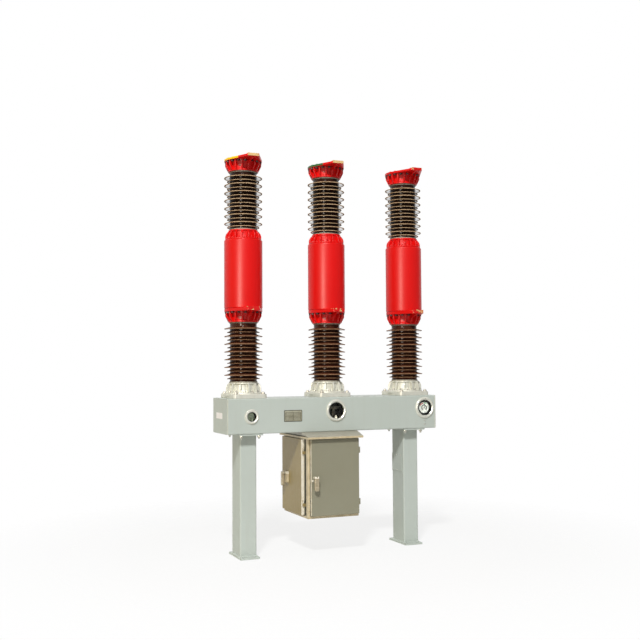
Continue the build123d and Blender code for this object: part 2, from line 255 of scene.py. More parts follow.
def hexBolt(name, seat, facing, flats, tall, washer=0.0, shank=0.0):
    seat, facing = Vector(seat), Vector(facing)
    parts = []
    lift = Vector((0, 0, 0))
    if washer:
        lift = facing * washer * 0.12
        parts.append(rod("washer", seat, seat + lift, washer, washer * 0.03, 20))
    parts.append(rod("head", seat + lift, seat + lift + facing * tall, flats / math.sqrt(3), flats * 0.05, 6))
    if shank:
        tip = seat + lift + facing * (tall + shank)
        parts.append(rod("shank", seat + lift, tip, flats * 0.3, flats * 0.06, 14))
    return joined(name, parts)


def panScrew(name, seat, facing, radius, tall):
    seat, facing = Vector(seat), Vector(facing)
    head = rod(name, seat, seat + facing * tall, radius, tall * 0.6, 16)
    across = facing.orthogonal().normalized() * radius * 0.75
    side = facing.cross(across).normalized() * radius * 0.12
    low = seat + facing * tall * 0.55 - across - side
    high = seat + facing * tall * 1.2 + across + side
    pairs = [sorted(pair) for pair in zip(low, high)]
    slot = block("slot", [pair[0] for pair in pairs], [pair[1] for pair in pairs])
    return drilled(head, [slot])


def dressedCopy(node, name, rounding, segments=2, angle=30):  # the node's own shape with rounded edges
    focus(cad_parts[node])
    bpy.ops.object.duplicate(linked=False)
    twin = bpy.context.object
    twin.parent = None
    for key in list(twin.keys()):
        del twin[key]
    called(mend(twin, 0.000002), name)
    bpy.ops.object.mode_set(mode="EDIT")
    bpy.ops.mesh.select_all(action="SELECT")
    bpy.ops.mesh.dissolve_limited(angle_limit=math.radians(0.5))
    bpy.ops.object.mode_set(mode="OBJECT")
    if rounding:
        roundEdges(twin, rounding, segments, angle)
    return flatFaces(twin)


def dress(piece, material, slot, *nodes, body="frame"):
    piece.data.materials.clear()
    piece.data.materials.append(material)
    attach(piece, body)
    if nodes:
        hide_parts(*nodes)
    return piece


def newMaterial(name):
    material = bpy.data.materials.new(name)
    material.use_nodes = True
    tree = material.node_tree
    return material, tree, tree.nodes["Principled BSDF"]


def feed(tree, socket, value):
    if isinstance(value, bpy.types.NodeSocket):
        tree.links.new(value, socket)
    elif isinstance(value, tuple) and len(value) == 3 and socket.type == "RGBA":
        socket.default_value = (*value, 1)
    else:
        socket.default_value = value


def placed(tree, scale=(1, 1, 1), move=(0, 0, 0), turn=(0, 0, 0)):
    coordinates = tree.nodes.new("ShaderNodeTexCoord")
    mapping = tree.nodes.new("ShaderNodeMapping")
    mapping.inputs["Location"].default_value = move
    mapping.inputs["Rotation"].default_value = turn
    mapping.inputs["Scale"].default_value = scale
    tree.links.new(coordinates.outputs["Object"], mapping.inputs["Vector"])
    return mapping.outputs["Vector"]


def noise(tree, place, scale, detail=3.0, rough=0.55):
    texture = tree.nodes.new("ShaderNodeTexNoise")
    feed(tree, texture.inputs["Vector"], place)
    feed(tree, texture.inputs["Scale"], scale)
    feed(tree, texture.inputs["Detail"], detail)
    feed(tree, texture.inputs["Roughness"], rough)
    return texture.outputs["Fac"]


def between(tree, value, low, high, bottom=0.0, top=1.0):  # clamps and maps low..high to bottom..top
    limits = tree.nodes.new("ShaderNodeMapRange")
    for socket, number in zip(list(limits.inputs)[:5], (value, low, high, bottom, top)):
        feed(tree, socket, number)
    return limits.outputs["Result"]


def calc(tree, operation, first, second=0.0):
    sums = tree.nodes.new("ShaderNodeMath")
    sums.operation = operation
    feed(tree, sums.inputs[0], first)
    feed(tree, sums.inputs[1], second)
    return sums.outputs[0]


def blend(tree, amount, first, second):
    mix = tree.nodes.new("ShaderNodeMix")
    mix.data_type = "RGBA"
    feed(tree, mix.inputs[0], amount)
    feed(tree, mix.inputs[6], first)
    feed(tree, mix.inputs[7], second)
    return mix.outputs[2]


def bumped(tree, shader, height, strength, distance):
    bump = tree.nodes.new("ShaderNodeBump")
    feed(tree, bump.inputs["Height"], height)
    feed(tree, bump.inputs["Strength"], strength)
    feed(tree, bump.inputs["Distance"], distance)
    tree.links.new(bump.outputs["Normal"], shader.inputs["Normal"])


grainDepth = 0.0006


def finish(tree, shader, look, colour):
    feed(tree, shader.inputs["Base Color"], colour)
    sheen = noise(tree, placed(tree), 37, 3)
    feed(tree, shader.inputs["Roughness"],
         between(tree, sheen, 0.3, 0.7, look["rough"] - look["uneven"], look["rough"] + look["uneven"]))
    shader.inputs["Metallic"].default_value = look.get("metal", 0)
    shader.inputs["Specular IOR Level"].default_value = look.get("shine", 0.5)
    shader.inputs["Coat Weight"].default_value = look.get("coat", 0)
    shader.inputs["Coat Roughness"].default_value = look.get("coatRough", 0.08)
    shader.inputs["Coat IOR"].default_value = look.get("coatBend", 1.5)
    grain = noise(tree, placed(tree), look["grain"], 2)
    bumped(tree, shader, grain, look["relief"], grainDepth)


def weathered(tree, look):  # cloudy paint with faint rain streaks
    cloud = between(tree, noise(tree, placed(tree), look["cloudSize"], 5), 0.38, 0.68)
    streak = between(tree, noise(tree, placed(tree, scale=(30, 30, 1.8)), 1, 4), 0.52, 0.74)
    colour = blend(tree, calc(tree, "MULTIPLY", cloud, look["cloud"]), look["colour"], look["shade"])
    return blend(tree, calc(tree, "MULTIPLY", streak, look["streak"]), colour, look["dust"])


def enamel(name, look):
    material, tree, shader = newMaterial(name)
    finish(tree, shader, look, weathered(tree, look))
    return material


usualPaint = {"cloudSize": 18, "cloud": 0.5, "streak": 0.2, "rough": 0.4, "uneven": 0.08, "grain": 420,
              "relief": 0.12}
paints = {  # what differs from the usual paint
    "frame": dict(colour=(0.51, 0.56, 0.515), shade=(0.46, 0.505, 0.455), dust=(0.42, 0.42, 0.34),
                  cloudSize=2.2, cloud=0.4, streak=0.12, rough=0.42, uneven=0.07, shine=0.4),
    "cabinet": dict(colour=(0.275, 0.265, 0.19), shade=(0.25, 0.235, 0.16), dust=(0.32, 0.28, 0.19),
                    cloudSize=3.4, streak=0.25, rough=0.38, uneven=0.06, relief=0.1, shine=0.5),
    # side door and its hinges: the cabinet's sheet painted warmer and more golden, a painted warm reflection
    # on that side
    "cabinetSideWarmSheen": dict(colour=(0.355, 0.272, 0.117), shade=(0.31, 0.236, 0.096), dust=(0.39, 0.29, 0.12),
                        cloudSize=3.4, streak=0.25, rough=0.38, uneven=0.06, relief=0.1, shine=0.4),
    # the roof's sheet painted lighter and greyer than the cabinet's: painted sky reflection on its upward
    # slope
    "roof": dict(colour=(0.4, 0.385, 0.32), shade=(0.33, 0.31, 0.24), dust=(0.36, 0.31, 0.21), cloudSize=8,
                 cloud=0.6, rough=0.36, uneven=0.06, shine=0.5),
    "trim": dict(colour=(0.66, 0.56, 0.37), shade=(0.47, 0.38, 0.22), dust=(0.3, 0.22, 0.1), cloud=0.8,
                 streak=0.35, rough=0.36, shine=0.5),
    # pale strips at the beam's front corners: painted highlight
    "edgeHighlight": dict(colour=(0.66, 0.66, 0.55), shade=(0.54, 0.53, 0.42), dust=(0.4, 0.37, 0.27),
                    cloudSize=20, cloud=0.6, rough=0.5, shine=0.4),
    # cream: painted highlight on the doors' folded edges, the levers' upper ends and their caps; also the
    # colour of the small lock and of the stop under the rod
    "return": dict(colour=(0.92, 0.87, 0.75), shade=(0.76, 0.68, 0.5), dust=(0.5, 0.4, 0.24), cloudSize=20,
                   cloud=0.6, rough=0.3, shine=0.5),
    "red": dict(colour=(0.735, 0.003, 0.0024), shade=(0.67, 0.0026, 0.0022), dust=(0.64, 0.016, 0.009),
                cloudSize=4.5, cloud=0.3, streak=0.1, rough=0.38, uneven=0.02, grain=300, relief=0.04,
                shine=0.3),
    "casting": dict(colour=(0.75, 0.75, 0.67), shade=(0.6, 0.59, 0.5), dust=(0.46, 0.41, 0.31),
                    cloudSize=14, streak=0.25, rough=0.46, grain=520, relief=0.3, metal=0.25, shine=0.4),
    # bolts under the terminal plates: red paint as it looks in deep shade, painted shade of the pockets under
    # the plate
    "shadedRedBolt": dict(colour=(0.075, 0.022, 0.022), shade=(0.04, 0.014, 0.016), dust=(0.12, 0.04, 0.03),
                     cloudSize=60, cloud=0.6, rough=0.5, uneven=0.1, grain=700, relief=0.2),
    "zinc": dict(colour=(0.6, 0.585, 0.53), shade=(0.42, 0.4, 0.34), dust=(0.36, 0.31, 0.22), cloudSize=60,
                 cloud=0.6, streak=0.3, rough=0.5, grain=900, relief=0.1, metal=0.6),
    "rim": dict(colour=(0.8, 0.81, 0.73), shade=(0.64, 0.64, 0.56), dust=(0.44, 0.42, 0.33), cloudSize=24,
                rough=0.22, uneven=0.05, grain=700, relief=0.1, metal=0.25),
    "handle": dict(colour=(0.58, 0.5, 0.35), shade=(0.45, 0.37, 0.24), dust=(0.4, 0.32, 0.2), cloudSize=60,
                   rough=0.24, uneven=0.06, grain=600, relief=0.08, metal=0.35),
    "interior": dict(colour=(0.024, 0.021, 0.016), shade=(0.036, 0.032, 0.024), dust=(0.05, 0.044, 0.033),
                     cloudSize=20, cloud=0.6, rough=0.6, uneven=0.1, grain=500, relief=0.2, shine=0.1),
    "rubber": dict(colour=(0.02, 0.02, 0.019), shade=(0.035, 0.034, 0.03), dust=(0.08, 0.075, 0.06),
                   cloudSize=40, streak=0.3, rough=0.7, uneven=0.1, grain=900, relief=0.2),
    "cement": dict(colour=(0.42, 0.38, 0.3), shade=(0.3, 0.26, 0.2), dust=(0.2, 0.17, 0.12), cloudSize=50,
                   cloud=0.7, streak=0.3, rough=0.75, uneven=0.1, grain=800, relief=0.5),
    "plate": dict(colour=(0.45, 0.44, 0.33), shade=(0.25, 0.23, 0.145), dust=(0.56, 0.55, 0.42),
                  cloudSize=26, streak=0.3, rough=0.38, grain=800, relief=0.1, metal=0.1),
    "label": dict(colour=(0.99, 0.96, 0.97), shade=(0.95, 0.9, 0.9), dust=(0.75, 0.7, 0.62), streak=0.3,
                  rough=0.45, uneven=0.06, grain=700, relief=0.06),
    "flag": dict(colour=(0.17, 0.2, 0.135), shade=(0.085, 0.105, 0.065), dust=(0.42, 0.44, 0.34),
                 cloudSize=70, cloud=0.9, streak=0.5, uneven=0.06, grain=700, relief=0.08),
    "linkage": dict(colour=(0.055, 0.045, 0.026), shade=(0.04, 0.032, 0.018), dust=(0.085, 0.07, 0.04),
                    cloudSize=40, cloud=0.6, grain=600, relief=0.15, metal=0.3),
    "dialBlack": dict(colour=(0.004, 0.0035, 0.003), shade=(0.007, 0.006, 0.005), dust=(0.01, 0.009, 0.008),
                      cloudSize=40, cloud=0.4, streak=0.1, uneven=0.05, grain=600, relief=0.05, shine=0.2),
    "dialWhite": dict(colour=(0.97, 0.99, 0.95), shade=(0.86, 0.93, 0.84), dust=(0.82, 0.84, 0.74),
                      streak=0.1, uneven=0.05, grain=600, relief=0.04),
    "dialRed": dict(colour=(0.62, 0.03, 0.03), shade=(0.52, 0.03, 0.03), dust=(0.6, 0.08, 0.06),
                    cloudSize=30, cloud=0.4, streak=0.1, uneven=0.05, grain=600, relief=0.04),
    "dialGreen": dict(colour=(0.02, 0.22, 0.07), shade=(0.02, 0.17, 0.06), dust=(0.08, 0.26, 0.12),
                      cloudSize=30, cloud=0.4, streak=0.1, uneven=0.05, grain=600, relief=0.04),
    "dialGrey": dict(colour=(0.05, 0.055, 0.055), shade=(0.03, 0.035, 0.035), dust=(0.2, 0.2, 0.19),
                     cloudSize=30, cloud=0.4, streak=0.1, uneven=0.05, grain=600, relief=0.04),
}
paints = {name: {**usualPaint, **look} for name, look in paints.items()}
finishes = {name: enamel(f"{name}Finish", look) for name, look in paints.items()}


glazeLook = {"colour": (0.075, 0.021, 0.010), "deep": (0.035, 0.010, 0.006), "worn": (0.30, 0.17, 0.09),
             "rough": 0.2, "uneven": 0.05, "grain": 60, "relief": 0.04, "shine": 0.14}
underGlazeLook = dict(glazeLook, rough=0.1, coat=1, coatRough=0.05, coatBend=1.8, shine=0.6)
# the upper columns get the lower columns' glaze made darker: painted shade, as their sheds are seen from below
shadedUpperGlazeLook = dict(glazeLook, colour=(0.034, 0.012, 0.007), deep=(0.016, 0.007, 0.005),
                     worn=(0.16, 0.09, 0.05))
thinGlazeLook = {"colour": (0.28, 0.155, 0.085), "shade": (0.16, 0.08, 0.04), "dust": (0.10, 0.05, 0.03),
                 "cloudSize": 30, "cloud": 0.8, "streak": 0.3, "rough": 0.6, "uneven": 0.08,
                 "grain": 300, "relief": 0.2, "shine": 0}
# paler rims for the upper sheds: a painted reflection on the same thin glaze as the lower rims
litUpperRimGlazeLook = dict(thinGlazeLook, colour=(0.50, 0.36, 0.22), shade=(0.34, 0.22, 0.12),
                     dust=(0.2, 0.12, 0.07))


def glaze(name, look):  # thick brown glaze with pale specks
    material, tree, shader = newMaterial(name)
    cloud = between(tree, noise(tree, placed(tree), 9, 4), 0.35, 0.7)
    colour = blend(tree, cloud, look["colour"], look["deep"])
    speck = between(tree, noise(tree, placed(tree), 190, 2), 0.60, 0.72)
    colour = blend(tree, calc(tree, "MULTIPLY", speck, 0.35), colour, look["worn"])
    finish(tree, shader, look, colour)
    return material


finishes["thinGlaze"] = enamel("thinGlaze", thinGlazeLook)
finishes["litUpperRimGlaze"] = enamel("litUpperRimGlaze", litUpperRimGlazeLook)
finishes["shadedUpperGlaze"] = glaze("shadedUpperGlaze", shadedUpperGlazeLook)
finishes["glaze"] = glaze("brownGlaze", glazeLook)
finishes["underGlaze"] = glaze("glossyGlaze", underGlazeLook)


def clearGlass(name):
    material, tree, shader = newMaterial(name)
    dust = between(tree, noise(tree, placed(tree), 14, 4), 0.45, 0.75, 0.02, 0.12)
    feed(tree, shader.inputs["Base Color"], (0.93, 0.95, 0.93))
    feed(tree, shader.inputs["Roughness"], dust)
    shader.inputs["Transmission Weight"].default_value = 1
    shader.inputs["IOR"].default_value = 1.2
    return material


finishes["glass"] = clearGlass("windowGlass")

phaseLook = {"left": (1.0, 0.60, 0.0), "middle": (0.022, 0.13, 0.03), "right": None,
             "side": -0.024, "across": (0.919, -0.394), "ragged": 0.02}


def phasePaint(name, pole, low):  # red casting with its phase colour brushed on the plate's rim and nuts
    look = paints["red"]
    material, tree, shader = newMaterial(name)
    colour = weathered(tree, look)
    parts = tree.nodes.new("ShaderNodeSeparateXYZ")
    tree.links.new(placed(tree, move=(-poleX[pole], 0, 0)), parts.inputs[0])
    ragged = calc(tree, "SUBTRACT", noise(tree, placed(tree), 34, 4), 0.5)
    ragged = calc(tree, "MULTIPLY", ragged, phaseLook["ragged"])
    across = calc(tree, "ADD", calc(tree, "MULTIPLY", parts.outputs["X"], phaseLook["across"][0]),
                  calc(tree, "MULTIPLY", parts.outputs["Y"], phaseLook["across"][1]))
    edge = phaseLook["side"]
    onSide = between(tree, calc(tree, "ADD", across, ragged), edge + 0.002, edge - 0.002)
    height = calc(tree, "ADD", parts.outputs["Z"], calc(tree, "MULTIPLY", ragged, 0.3))
    onRim = between(tree, height, low, low + 0.001)
    colour = blend(tree, calc(tree, "MULTIPLY", onSide, onRim), colour, phaseLook[pole])
    finish(tree, shader, look, colour)
    return material


contactLook = {"colour": (0.84, 0.58, 0.26), "shade": (0.66, 0.42, 0.18), "dust": (0.45, 0.16, 0.07),
               "cloudSize": 30, "cloud": 0.6, "streak": 0.3, "rough": 0.45, "uneven": 0.08,
               "grain": 500, "relief": 0.3, "metal": 0.2}


def contactFinish(name, bare):  # bare metal under paint that has been scraped off, by the share that is bare
    material, tree, shader = newMaterial(name)
    patches = noise(tree, placed(tree), 38, 3)
    scraped = between(tree, patches, 0.72 - bare * 0.5, 0.75 - bare * 0.5)
    finish(tree, shader, contactLook, blend(tree, scraped, weathered(tree, paints["red"]),
                                            weathered(tree, contactLook)))
    return material


cameraPlace = {"location": (-2.9838, -6.8209, 1.4367), "heading": -23.22, "pitch": 92.88, "roll": -0.32,
               "lens": 52.4, "sensor": 36}
lamps = {
    "keyLamp": {"location": (-4.73, -7.88, 9.5), "target": (0, 0, 1.8), "size": 1.3, "power": 1230},
    "stripLamp": {"location": (-5.6, -5.9, 2.2), "target": (0, 0, 1.9), "size": 0.8, "tall": 3.6,
                  "power": 560, "colour": (1.0, 0.88, 0.76), "shineOnly": True},
}
worldLight = {"strength": 0.42, "colour": (1.0, 0.995, 0.985), "frontShine": 0.12,
              "sideStrength": 0.52, "sideColour": (1.0, 0.83, 0.41)}
floorLook = {"colour": (0.86, 0.86, 0.85), "fadeFrom": 1.5, "fadeTo": 3.2, "glow": 0.8}


def makeCamera(place):
    focus()
    bpy.ops.object.camera_add()
    camera = called(bpy.context.object, "photoCamera")
    camera.data.lens = place["lens"]
    camera.data.sensor_width = place["sensor"]
    turn = Matrix.Rotation(math.radians(place["heading"]), 4, "Z")
    turn = turn @ Matrix.Rotation(math.radians(place["pitch"]), 4, "X")
    turn = turn @ Matrix.Rotation(math.radians(place["roll"]), 4, "Z")
    camera.matrix_world = Matrix.Translation(place["location"]) @ turn
    bpy.context.scene.camera = camera


def makeLamp(name, place):
    focus()
    bpy.ops.object.light_add(type="AREA", location=place["location"])
    lamp = called(bpy.context.object, name)
    lamp.data.shape = "RECTANGLE" if "tall" in place else "DISK"
    lamp.data.size = place["size"]
    if "tall" in place:
        lamp.data.size_y = place["tall"]
    lamp.data.color = place.get("colour", (1, 1, 1))
    lamp.data.energy = place["power"]
    lamp.visible_diffuse = not place.get("shineOnly")
    aim = Vector(place["target"]) - Vector(place["location"])
    lamp.rotation_euler = aim.to_track_quat("-Z", "Y").to_euler()


def makeWorld(look):  # white behind the object, dim where the camera stands, as in a studio
    world = bpy.data.worlds.new("paleStudio")
    bpy.context.scene.world = world
    world.use_nodes = True
    tree = world.node_tree
    background = tree.nodes["Background"]
    path = tree.nodes.new("ShaderNodeLightPath")
    parts = tree.nodes.new("ShaderNodeSeparateXYZ")
    tree.links.new(tree.nodes.new("ShaderNodeTexCoord").outputs["Generated"], parts.inputs[0])
    behind = between(tree, parts.outputs["Y"], -0.1, 0.3, look["frontShine"], 1)
    shown = calc(tree, "MAXIMUM", path.outputs["Is Camera Ray"], path.outputs["Is Transmission Ray"])
    mirrored = calc(tree, "MULTIPLY", path.outputs["Is Glossy Ray"], behind)
    plain = calc(tree, "MAXIMUM", shown, mirrored)
    seen = calc(tree, "MAXIMUM", shown, path.outputs["Is Glossy Ray"])
    warm = between(tree, parts.outputs["X"], -0.5, -0.9)
    tint = blend(tree, warm, look["colour"], look["sideColour"])
    feed(tree, background.inputs["Color"], blend(tree, seen, tint, (1, 1, 1)))
    level = between(tree, warm, 0, 1, look["strength"], look["sideStrength"])
    lit = calc(tree, "MULTIPLY", calc(tree, "SUBTRACT", 1.0, seen), level)
    feed(tree, background.inputs["Strength"], calc(tree, "ADD", lit, plain))


def makeFloor(look):
    focus()
    bpy.ops.mesh.primitive_circle_add(vertices=96, radius=look["fadeTo"] * 1.05, fill_type="NGON")
    floor = called(bpy.context.object, "studioFloor")
    material, tree, shader = newMaterial("paleFloor")
    feed(tree, shader.inputs["Base Color"], look["colour"])
    shader.inputs["Roughness"].default_value = 0.9
    shader.inputs["Specular IOR Level"].default_value = 0.1
    distance = tree.nodes.new("ShaderNodeVectorMath")
    distance.operation = "LENGTH"
    tree.links.new(placed(tree), distance.inputs[0])
    clear = tree.nodes.new("ShaderNodeBsdfTransparent")
    mix = tree.nodes.new("ShaderNodeMixShader")
    feed(tree, mix.inputs[0], between(tree, distance.outputs["Value"], look["fadeFrom"], look["fadeTo"]))
    path = tree.nodes.new("ShaderNodeLightPath")
    glow = tree.nodes.new("ShaderNodeEmission")
    lifted = tree.nodes.new("ShaderNodeMixShader")
    feed(tree, lifted.inputs[0], calc(tree, "MULTIPLY", path.outputs["Is Camera Ray"], look["glow"]))
    tree.links.new(shader.outputs[0], lifted.inputs[1])
    tree.links.new(glow.outputs[0], lifted.inputs[2])
    tree.links.new(lifted.outputs[0], mix.inputs[1])
    tree.links.new(clear.outputs[0], mix.inputs[2])
    tree.links.new(mix.outputs[0], tree.nodes["Material Output"].inputs["Surface"])
    floor.data.materials.append(material)


makeCamera(cameraPlace)
for lampName, lampPlace in lamps.items():
    makeLamp(lampName, lampPlace)
makeWorld(worldLight)
makeFloor(floorLook)
bpy.context.scene.view_settings.view_transform = "Standard"
print("camera, lamps and floor ready")


def onEachPole(piece, part, material, slot, replaced=True):
    for pole in poles:
        mine = piece
        if pole != "middle":
            mine = copied(piece, f"{pole}{part}", move=(poleX[pole], 0, 0))
        node = "".join("_" + letter.lower() if letter.isupper() else letter for letter in part)
        nodes = [pole + node] if replaced else []
        dress(mine, material[pole] if isinstance(material, dict) else material, slot, *nodes)
    called(piece, f"middle{part}")


porcelain = {"trunk": 0.103, "shed": 0.147, "smallShed": 0.125, "pairs": 7, "pitch": 0.0593,
             "smallDrop": 0.027, "rise": 0.019, "smallRise": 0.013, "under": 0.005, "lip": 0.0045,
             "tip": 0.002, "root": 0.007, "rimWide": 0.0105, "rimSkin": 0.0002, "bodyInset": 0.0004,
             "lowerFirst": 0.053, "upperFirst": 0.047}


def shedCorners(level, reach, rise):
    look = porcelain
    reach -= look["bodyInset"]
    return [(look["trunk"], level + look["under"], look["root"]), (reach, level, look["tip"]),
            (reach, level + look["lip"], look["tip"]), (look["trunk"], level + rise, look["root"])]


def porcelainColumn(node, first):
    low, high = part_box(node)
    look = porcelain
    corners = [(0, low[2], 0), (look["trunk"], low[2], 0.002)]
    for pair in range(look["pairs"]):
        level = low[2] + first + pair * look["pitch"]
        corners += shedCorners(level - look["smallDrop"], look["smallShed"], look["smallRise"])
        corners += shedCorners(level, look["shed"], look["rise"])
    corners += [(look["trunk"], high[2], 0.002), (0, high[2], 0)]
    return turned("porcelainColumn", corners)


def shedSlope(name, rise):  # how much a shed's face climbs per metre towards the trunk
    look = porcelain
    return rise / (look[name] - look["trunk"])


def shedRim(name, level, reach):  # the glaze runs thin over the edge of a shed
    look = porcelain
    back, tall, skin = reach - look["rimWide"], look["lip"], look["rimSkin"]
    fall = shedSlope("shed", look["rise"] - look["lip"]) * look["rimWide"]
    lift = shedSlope("shed", look["under"]) * look["rimWide"]
    return turned(name, [(back, level + lift - skin, 0), (reach, level - skin, look["tip"]),
                         (reach, level + tall + skin, look["tip"]), (back, level + tall + fall + skin, 0),
                         (back, level + lift - skin, 0)], 80, 2)


def shedUnder(name, level, reach):  # the smooth underside, dipped last
    look = porcelain
    inner, outer, skin = look["trunk"] + look["root"], reach - look["rimWide"], look["rimSkin"]
    climb = shedSlope("shed" if reach == look["shed"] else "smallShed", look["under"])
    ring = [(radius, level + climb * (reach - radius) + side * skin, 0)
            for radius, side in ((inner, -1), (outer, -1), (outer, 1), (inner, 1), (inner, -1))]
    return turned(name, ring, 80)


def shedParts(name, shape):  # one of them on each shed of both columns
    look = porcelain
    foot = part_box("middle_lower_porcelain")[0][2] + look["lowerFirst"]
    pair = joined(name, [shape(name, foot, look["shed"]), shape("small", foot - look["smallDrop"],
                                                               look["smallShed"])])
    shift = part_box("middle_upper_porcelain")[0][2] + look["upperFirst"] - foot
    twins = [copied(pair, name, move=(0, 0, lift + number * look["pitch"])) for lift in (0, shift)
             for number in range(look["pairs"]) if lift or number]
    return joined(name, [pair] + twins)


onEachPole(porcelainColumn("middle_lower_porcelain", porcelain["lowerFirst"]),
           "LowerPorcelain", finishes["glaze"], "brown_porcelain")
onEachPole(porcelainColumn("middle_upper_porcelain", porcelain["upperFirst"]),
           "UpperPorcelain", finishes["shadedUpperGlaze"], "brown_porcelain")
onEachPole(shedParts("shedRims", shedRim), "ShedRims", finishes["thinGlaze"], "brown_porcelain",
           replaced=False)
onEachPole(shedParts("shedUnders", shedUnder), "ShedUnders", finishes["underGlaze"], "brown_porcelain",
           replaced=False)
tankMiddle = middleOf("middle_tank").z
for pole in poles:  # the upper sheds' rims are painted paler than the lower ones: a painted reflection on the same thin glaze
    rims = bpy.data.objects[f"{pole}ShedRims"].data
    rims.materials.append(finishes["litUpperRimGlaze"])
    for face in rims.polygons:
        face.material_index = int(face.center.z > tankMiddle)
print("porcelain done")

sealRing = {"inner": 0.1, "outer": 0.1075, "tall": 0.009}


def sealRings():
    look = sealRing
    rings = []
    for node in ("middle_lower_porcelain", "middle_upper_porcelain"):
        low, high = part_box(node)
        for level in (low[2], high[2] - look["tall"]):
            top = level + look["tall"]
            rings.append(turned("ring", [(look["inner"], level, 0), (look["outer"], level, 0.002),
                                         (look["outer"], top, 0.002), (look["inner"], top, 0),
                                         (look["inner"], level, 0)], 64))
    return joined("sealRings", rings)


onEachPole(sealRings(), "SealRings", finishes["cement"], "silver_casting", replaced=False)

poleBase = {"plate": (0.132, 0.172, 0.032), "cut": 0.014, "disc": 0.142, "discTall": 0.012,
            "core": 0.104, "ribs": 12, "ribThick": 0.011, "ribRoot": 0.098, "foot": 0.1375,
            "head": 0.110, "bulge": 4.5, "nutRadius": 0.1235, "plateBolt": (0.108, 0.146)}


def makePoleBase():
    look = poleBase
    low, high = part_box("middle_pole_base")
    foot = low[2] + look["plate"][2] + look["discTall"]
    top = high[2]
    plate = block("basePlate", (-look["plate"][0], -look["plate"][1], low[2]),
                  (look["plate"][0], look["plate"][1], low[2] + look["plate"][2]))
    roundUpright(plate, look["cut"], 1, look["plate"][2] / 2)
    shade(roundEdges(plate, 0.003, 3))
    core = turned("baseCore", [(0, low[2] + 0.02, 0), (look["disc"], low[2] + 0.02, 0),
                               (look["disc"], foot, 0.004), (0.115, foot, 0.006),
                               (look["core"], foot + 0.016, 0.01),
                               (look["core"], top - 0.014, 0.004), (0.113, top - 0.009, 0.002),
                               (0.113, top, 0.002), (0.1045, top, 0.001), (0, top, 0)])
    arch = [(look["foot"] - (look["foot"] - look["head"]) * step ** look["bulge"],
             foot + (top - 0.001 - foot) * step) for step in (0, 0.4, 0.58, 0.7, 0.8, 0.88, 0.94, 1)]
    sole = [(look["ribRoot"], foot - 0.002), (look["foot"], foot - 0.002)]
    rib = slab("baseRib", sole + arch + [(look["ribRoot"], top - 0.001)], look["ribThick"], 0.0022)
    return joined("poleBase", [plate, core, circleOf(rib, look["ribs"])])


def poleBaseBolts():
    look = poleBase
    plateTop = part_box("middle_pole_base")[0][2] + look["plate"][2]
    bolts = [hexBolt("plateBolt", (x * look["plateBolt"][0], y * look["plateBolt"][1], plateTop), (0, 0, 1),
                     0.024, 0.01, washer=0.016, shank=0.006) for x in (-1, 1) for y in (-1, 1)]
    seat = betweenRibs(look, look["nutRadius"], plateTop + look["discTall"])
    nut = hexBolt("collarNut", seat, (0, 0, 1), 0.018, 0.009, washer=0.0115, shank=0.006)
    return joined("poleBaseBolts", bolts + [circleOf(nut, look["ribs"])])


onEachPole(makePoleBase(), "PoleBase", finishes["casting"], "silver_casting")
onEachPole(poleBaseBolts(), "PoleBaseBolts", finishes["zinc"], "silver_casting", replaced=False)
print("pole bases done")

bell = {"tall": 0.081, "foot": 0.117, "shoulder": 0.140, "core": 0.109, "ribs": 16, "ribThick": 0.011,
        "disc": 0.146, "pad": 0.045, "reach": 0.250, "contact": 0.090,
        "holes": 0.050, "holeMargin": 0.020, "hole": 0.007, "boltRadius": 0.1335, "topRadius": 0.128}


def plateOutline(look, tip=0.2485, corner=0.008):  # a disc drawn out to a tapered tongue
    away = math.hypot(look["pad"], tip)
    start = math.atan2(look["pad"], tip) + math.acos(look["disc"] / away)
    points = []
    for step in range(61):
        angle = -math.pi / 2 + start + step * (2 * math.pi - 2 * start) / 60
        points.append((look["disc"] * math.cos(angle), look["disc"] * math.sin(angle)))
    taper = math.tan(math.pi / 2 - start) * corner
    points += [(-look["pad"] - taper, corner - tip), (corner - look["pad"], -tip)]
    points += [(look["pad"] - corner, -tip), (look["pad"] + taper, corner - tip)]
    return points + points[:1]


def padCutters(low, high):  # four rods where the tongue has its holes
    look = bell
    half = look["holes"] / 2
    middle = half + look["holeMargin"] - look["reach"]
    places = [(x * half, middle + y * half) for x in (-1, 1) for y in (-1, 1)]
    return [rod("cutter", (x, y, low), (x, y, high), look["hole"]) for x, y in places]


def makeBell(node, plateTall):
    look = bell
    low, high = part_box(node)
    foot, top = low[2], low[2] + look["tall"]
    core = turned("bellCore", [(0, foot, 0), (look["foot"], foot, 0.003), (look["foot"], foot + 0.011, 0.003),
                               (look["core"], foot + 0.018, 0.006), (look["core"], foot + 0.044, 0.012),
                               (0.124, top - 0.006, 0.008), (0.124, top + 0.002, 0), (0, top + 0.002, 0)])
    rib = slab("bellRib", [(0.102, foot + 0.001), (look["foot"] - 0.001, foot + 0.001), (0.126, foot + 0.020),
                           (look["shoulder"], foot + 0.0486), (look["shoulder"], top + 0.002),
                           (0.102, top + 0.002)], look["ribThick"], 0.0035, 3)
    plate = flatPlate("terminalPlate", plateOutline(look), top, top + plateTall, 0.0035, 3)
    drilled(plate, padCutters(top - 0.01, high[2] + 0.01))
    web = slab("padWeb", [(-0.12, top + 0.002), (-0.225, top + 0.002), (-0.215, top - 0.006),
                          (-0.12, top - 0.036)], 0.012, 0.003)
    web.rotation_euler.z = math.pi / 2
    settle(web)
    return joined("bell", [core, circleOf(rib, look["ribs"]), plate, web])


def makeContact(node):  # the bare machined end of the tongue
    look = bell
    low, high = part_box(node)
    bottom = low[2] + look["tall"] + 0.003
    half = look["pad"] - 0.0005
    pad = block("contact", (-half, -look["reach"], bottom), (half, look["contact"] - look["reach"], high[2]),
                0.0015)
    return drilled(pad, padCutters(bottom - 0.01, high[2] + 0.01))


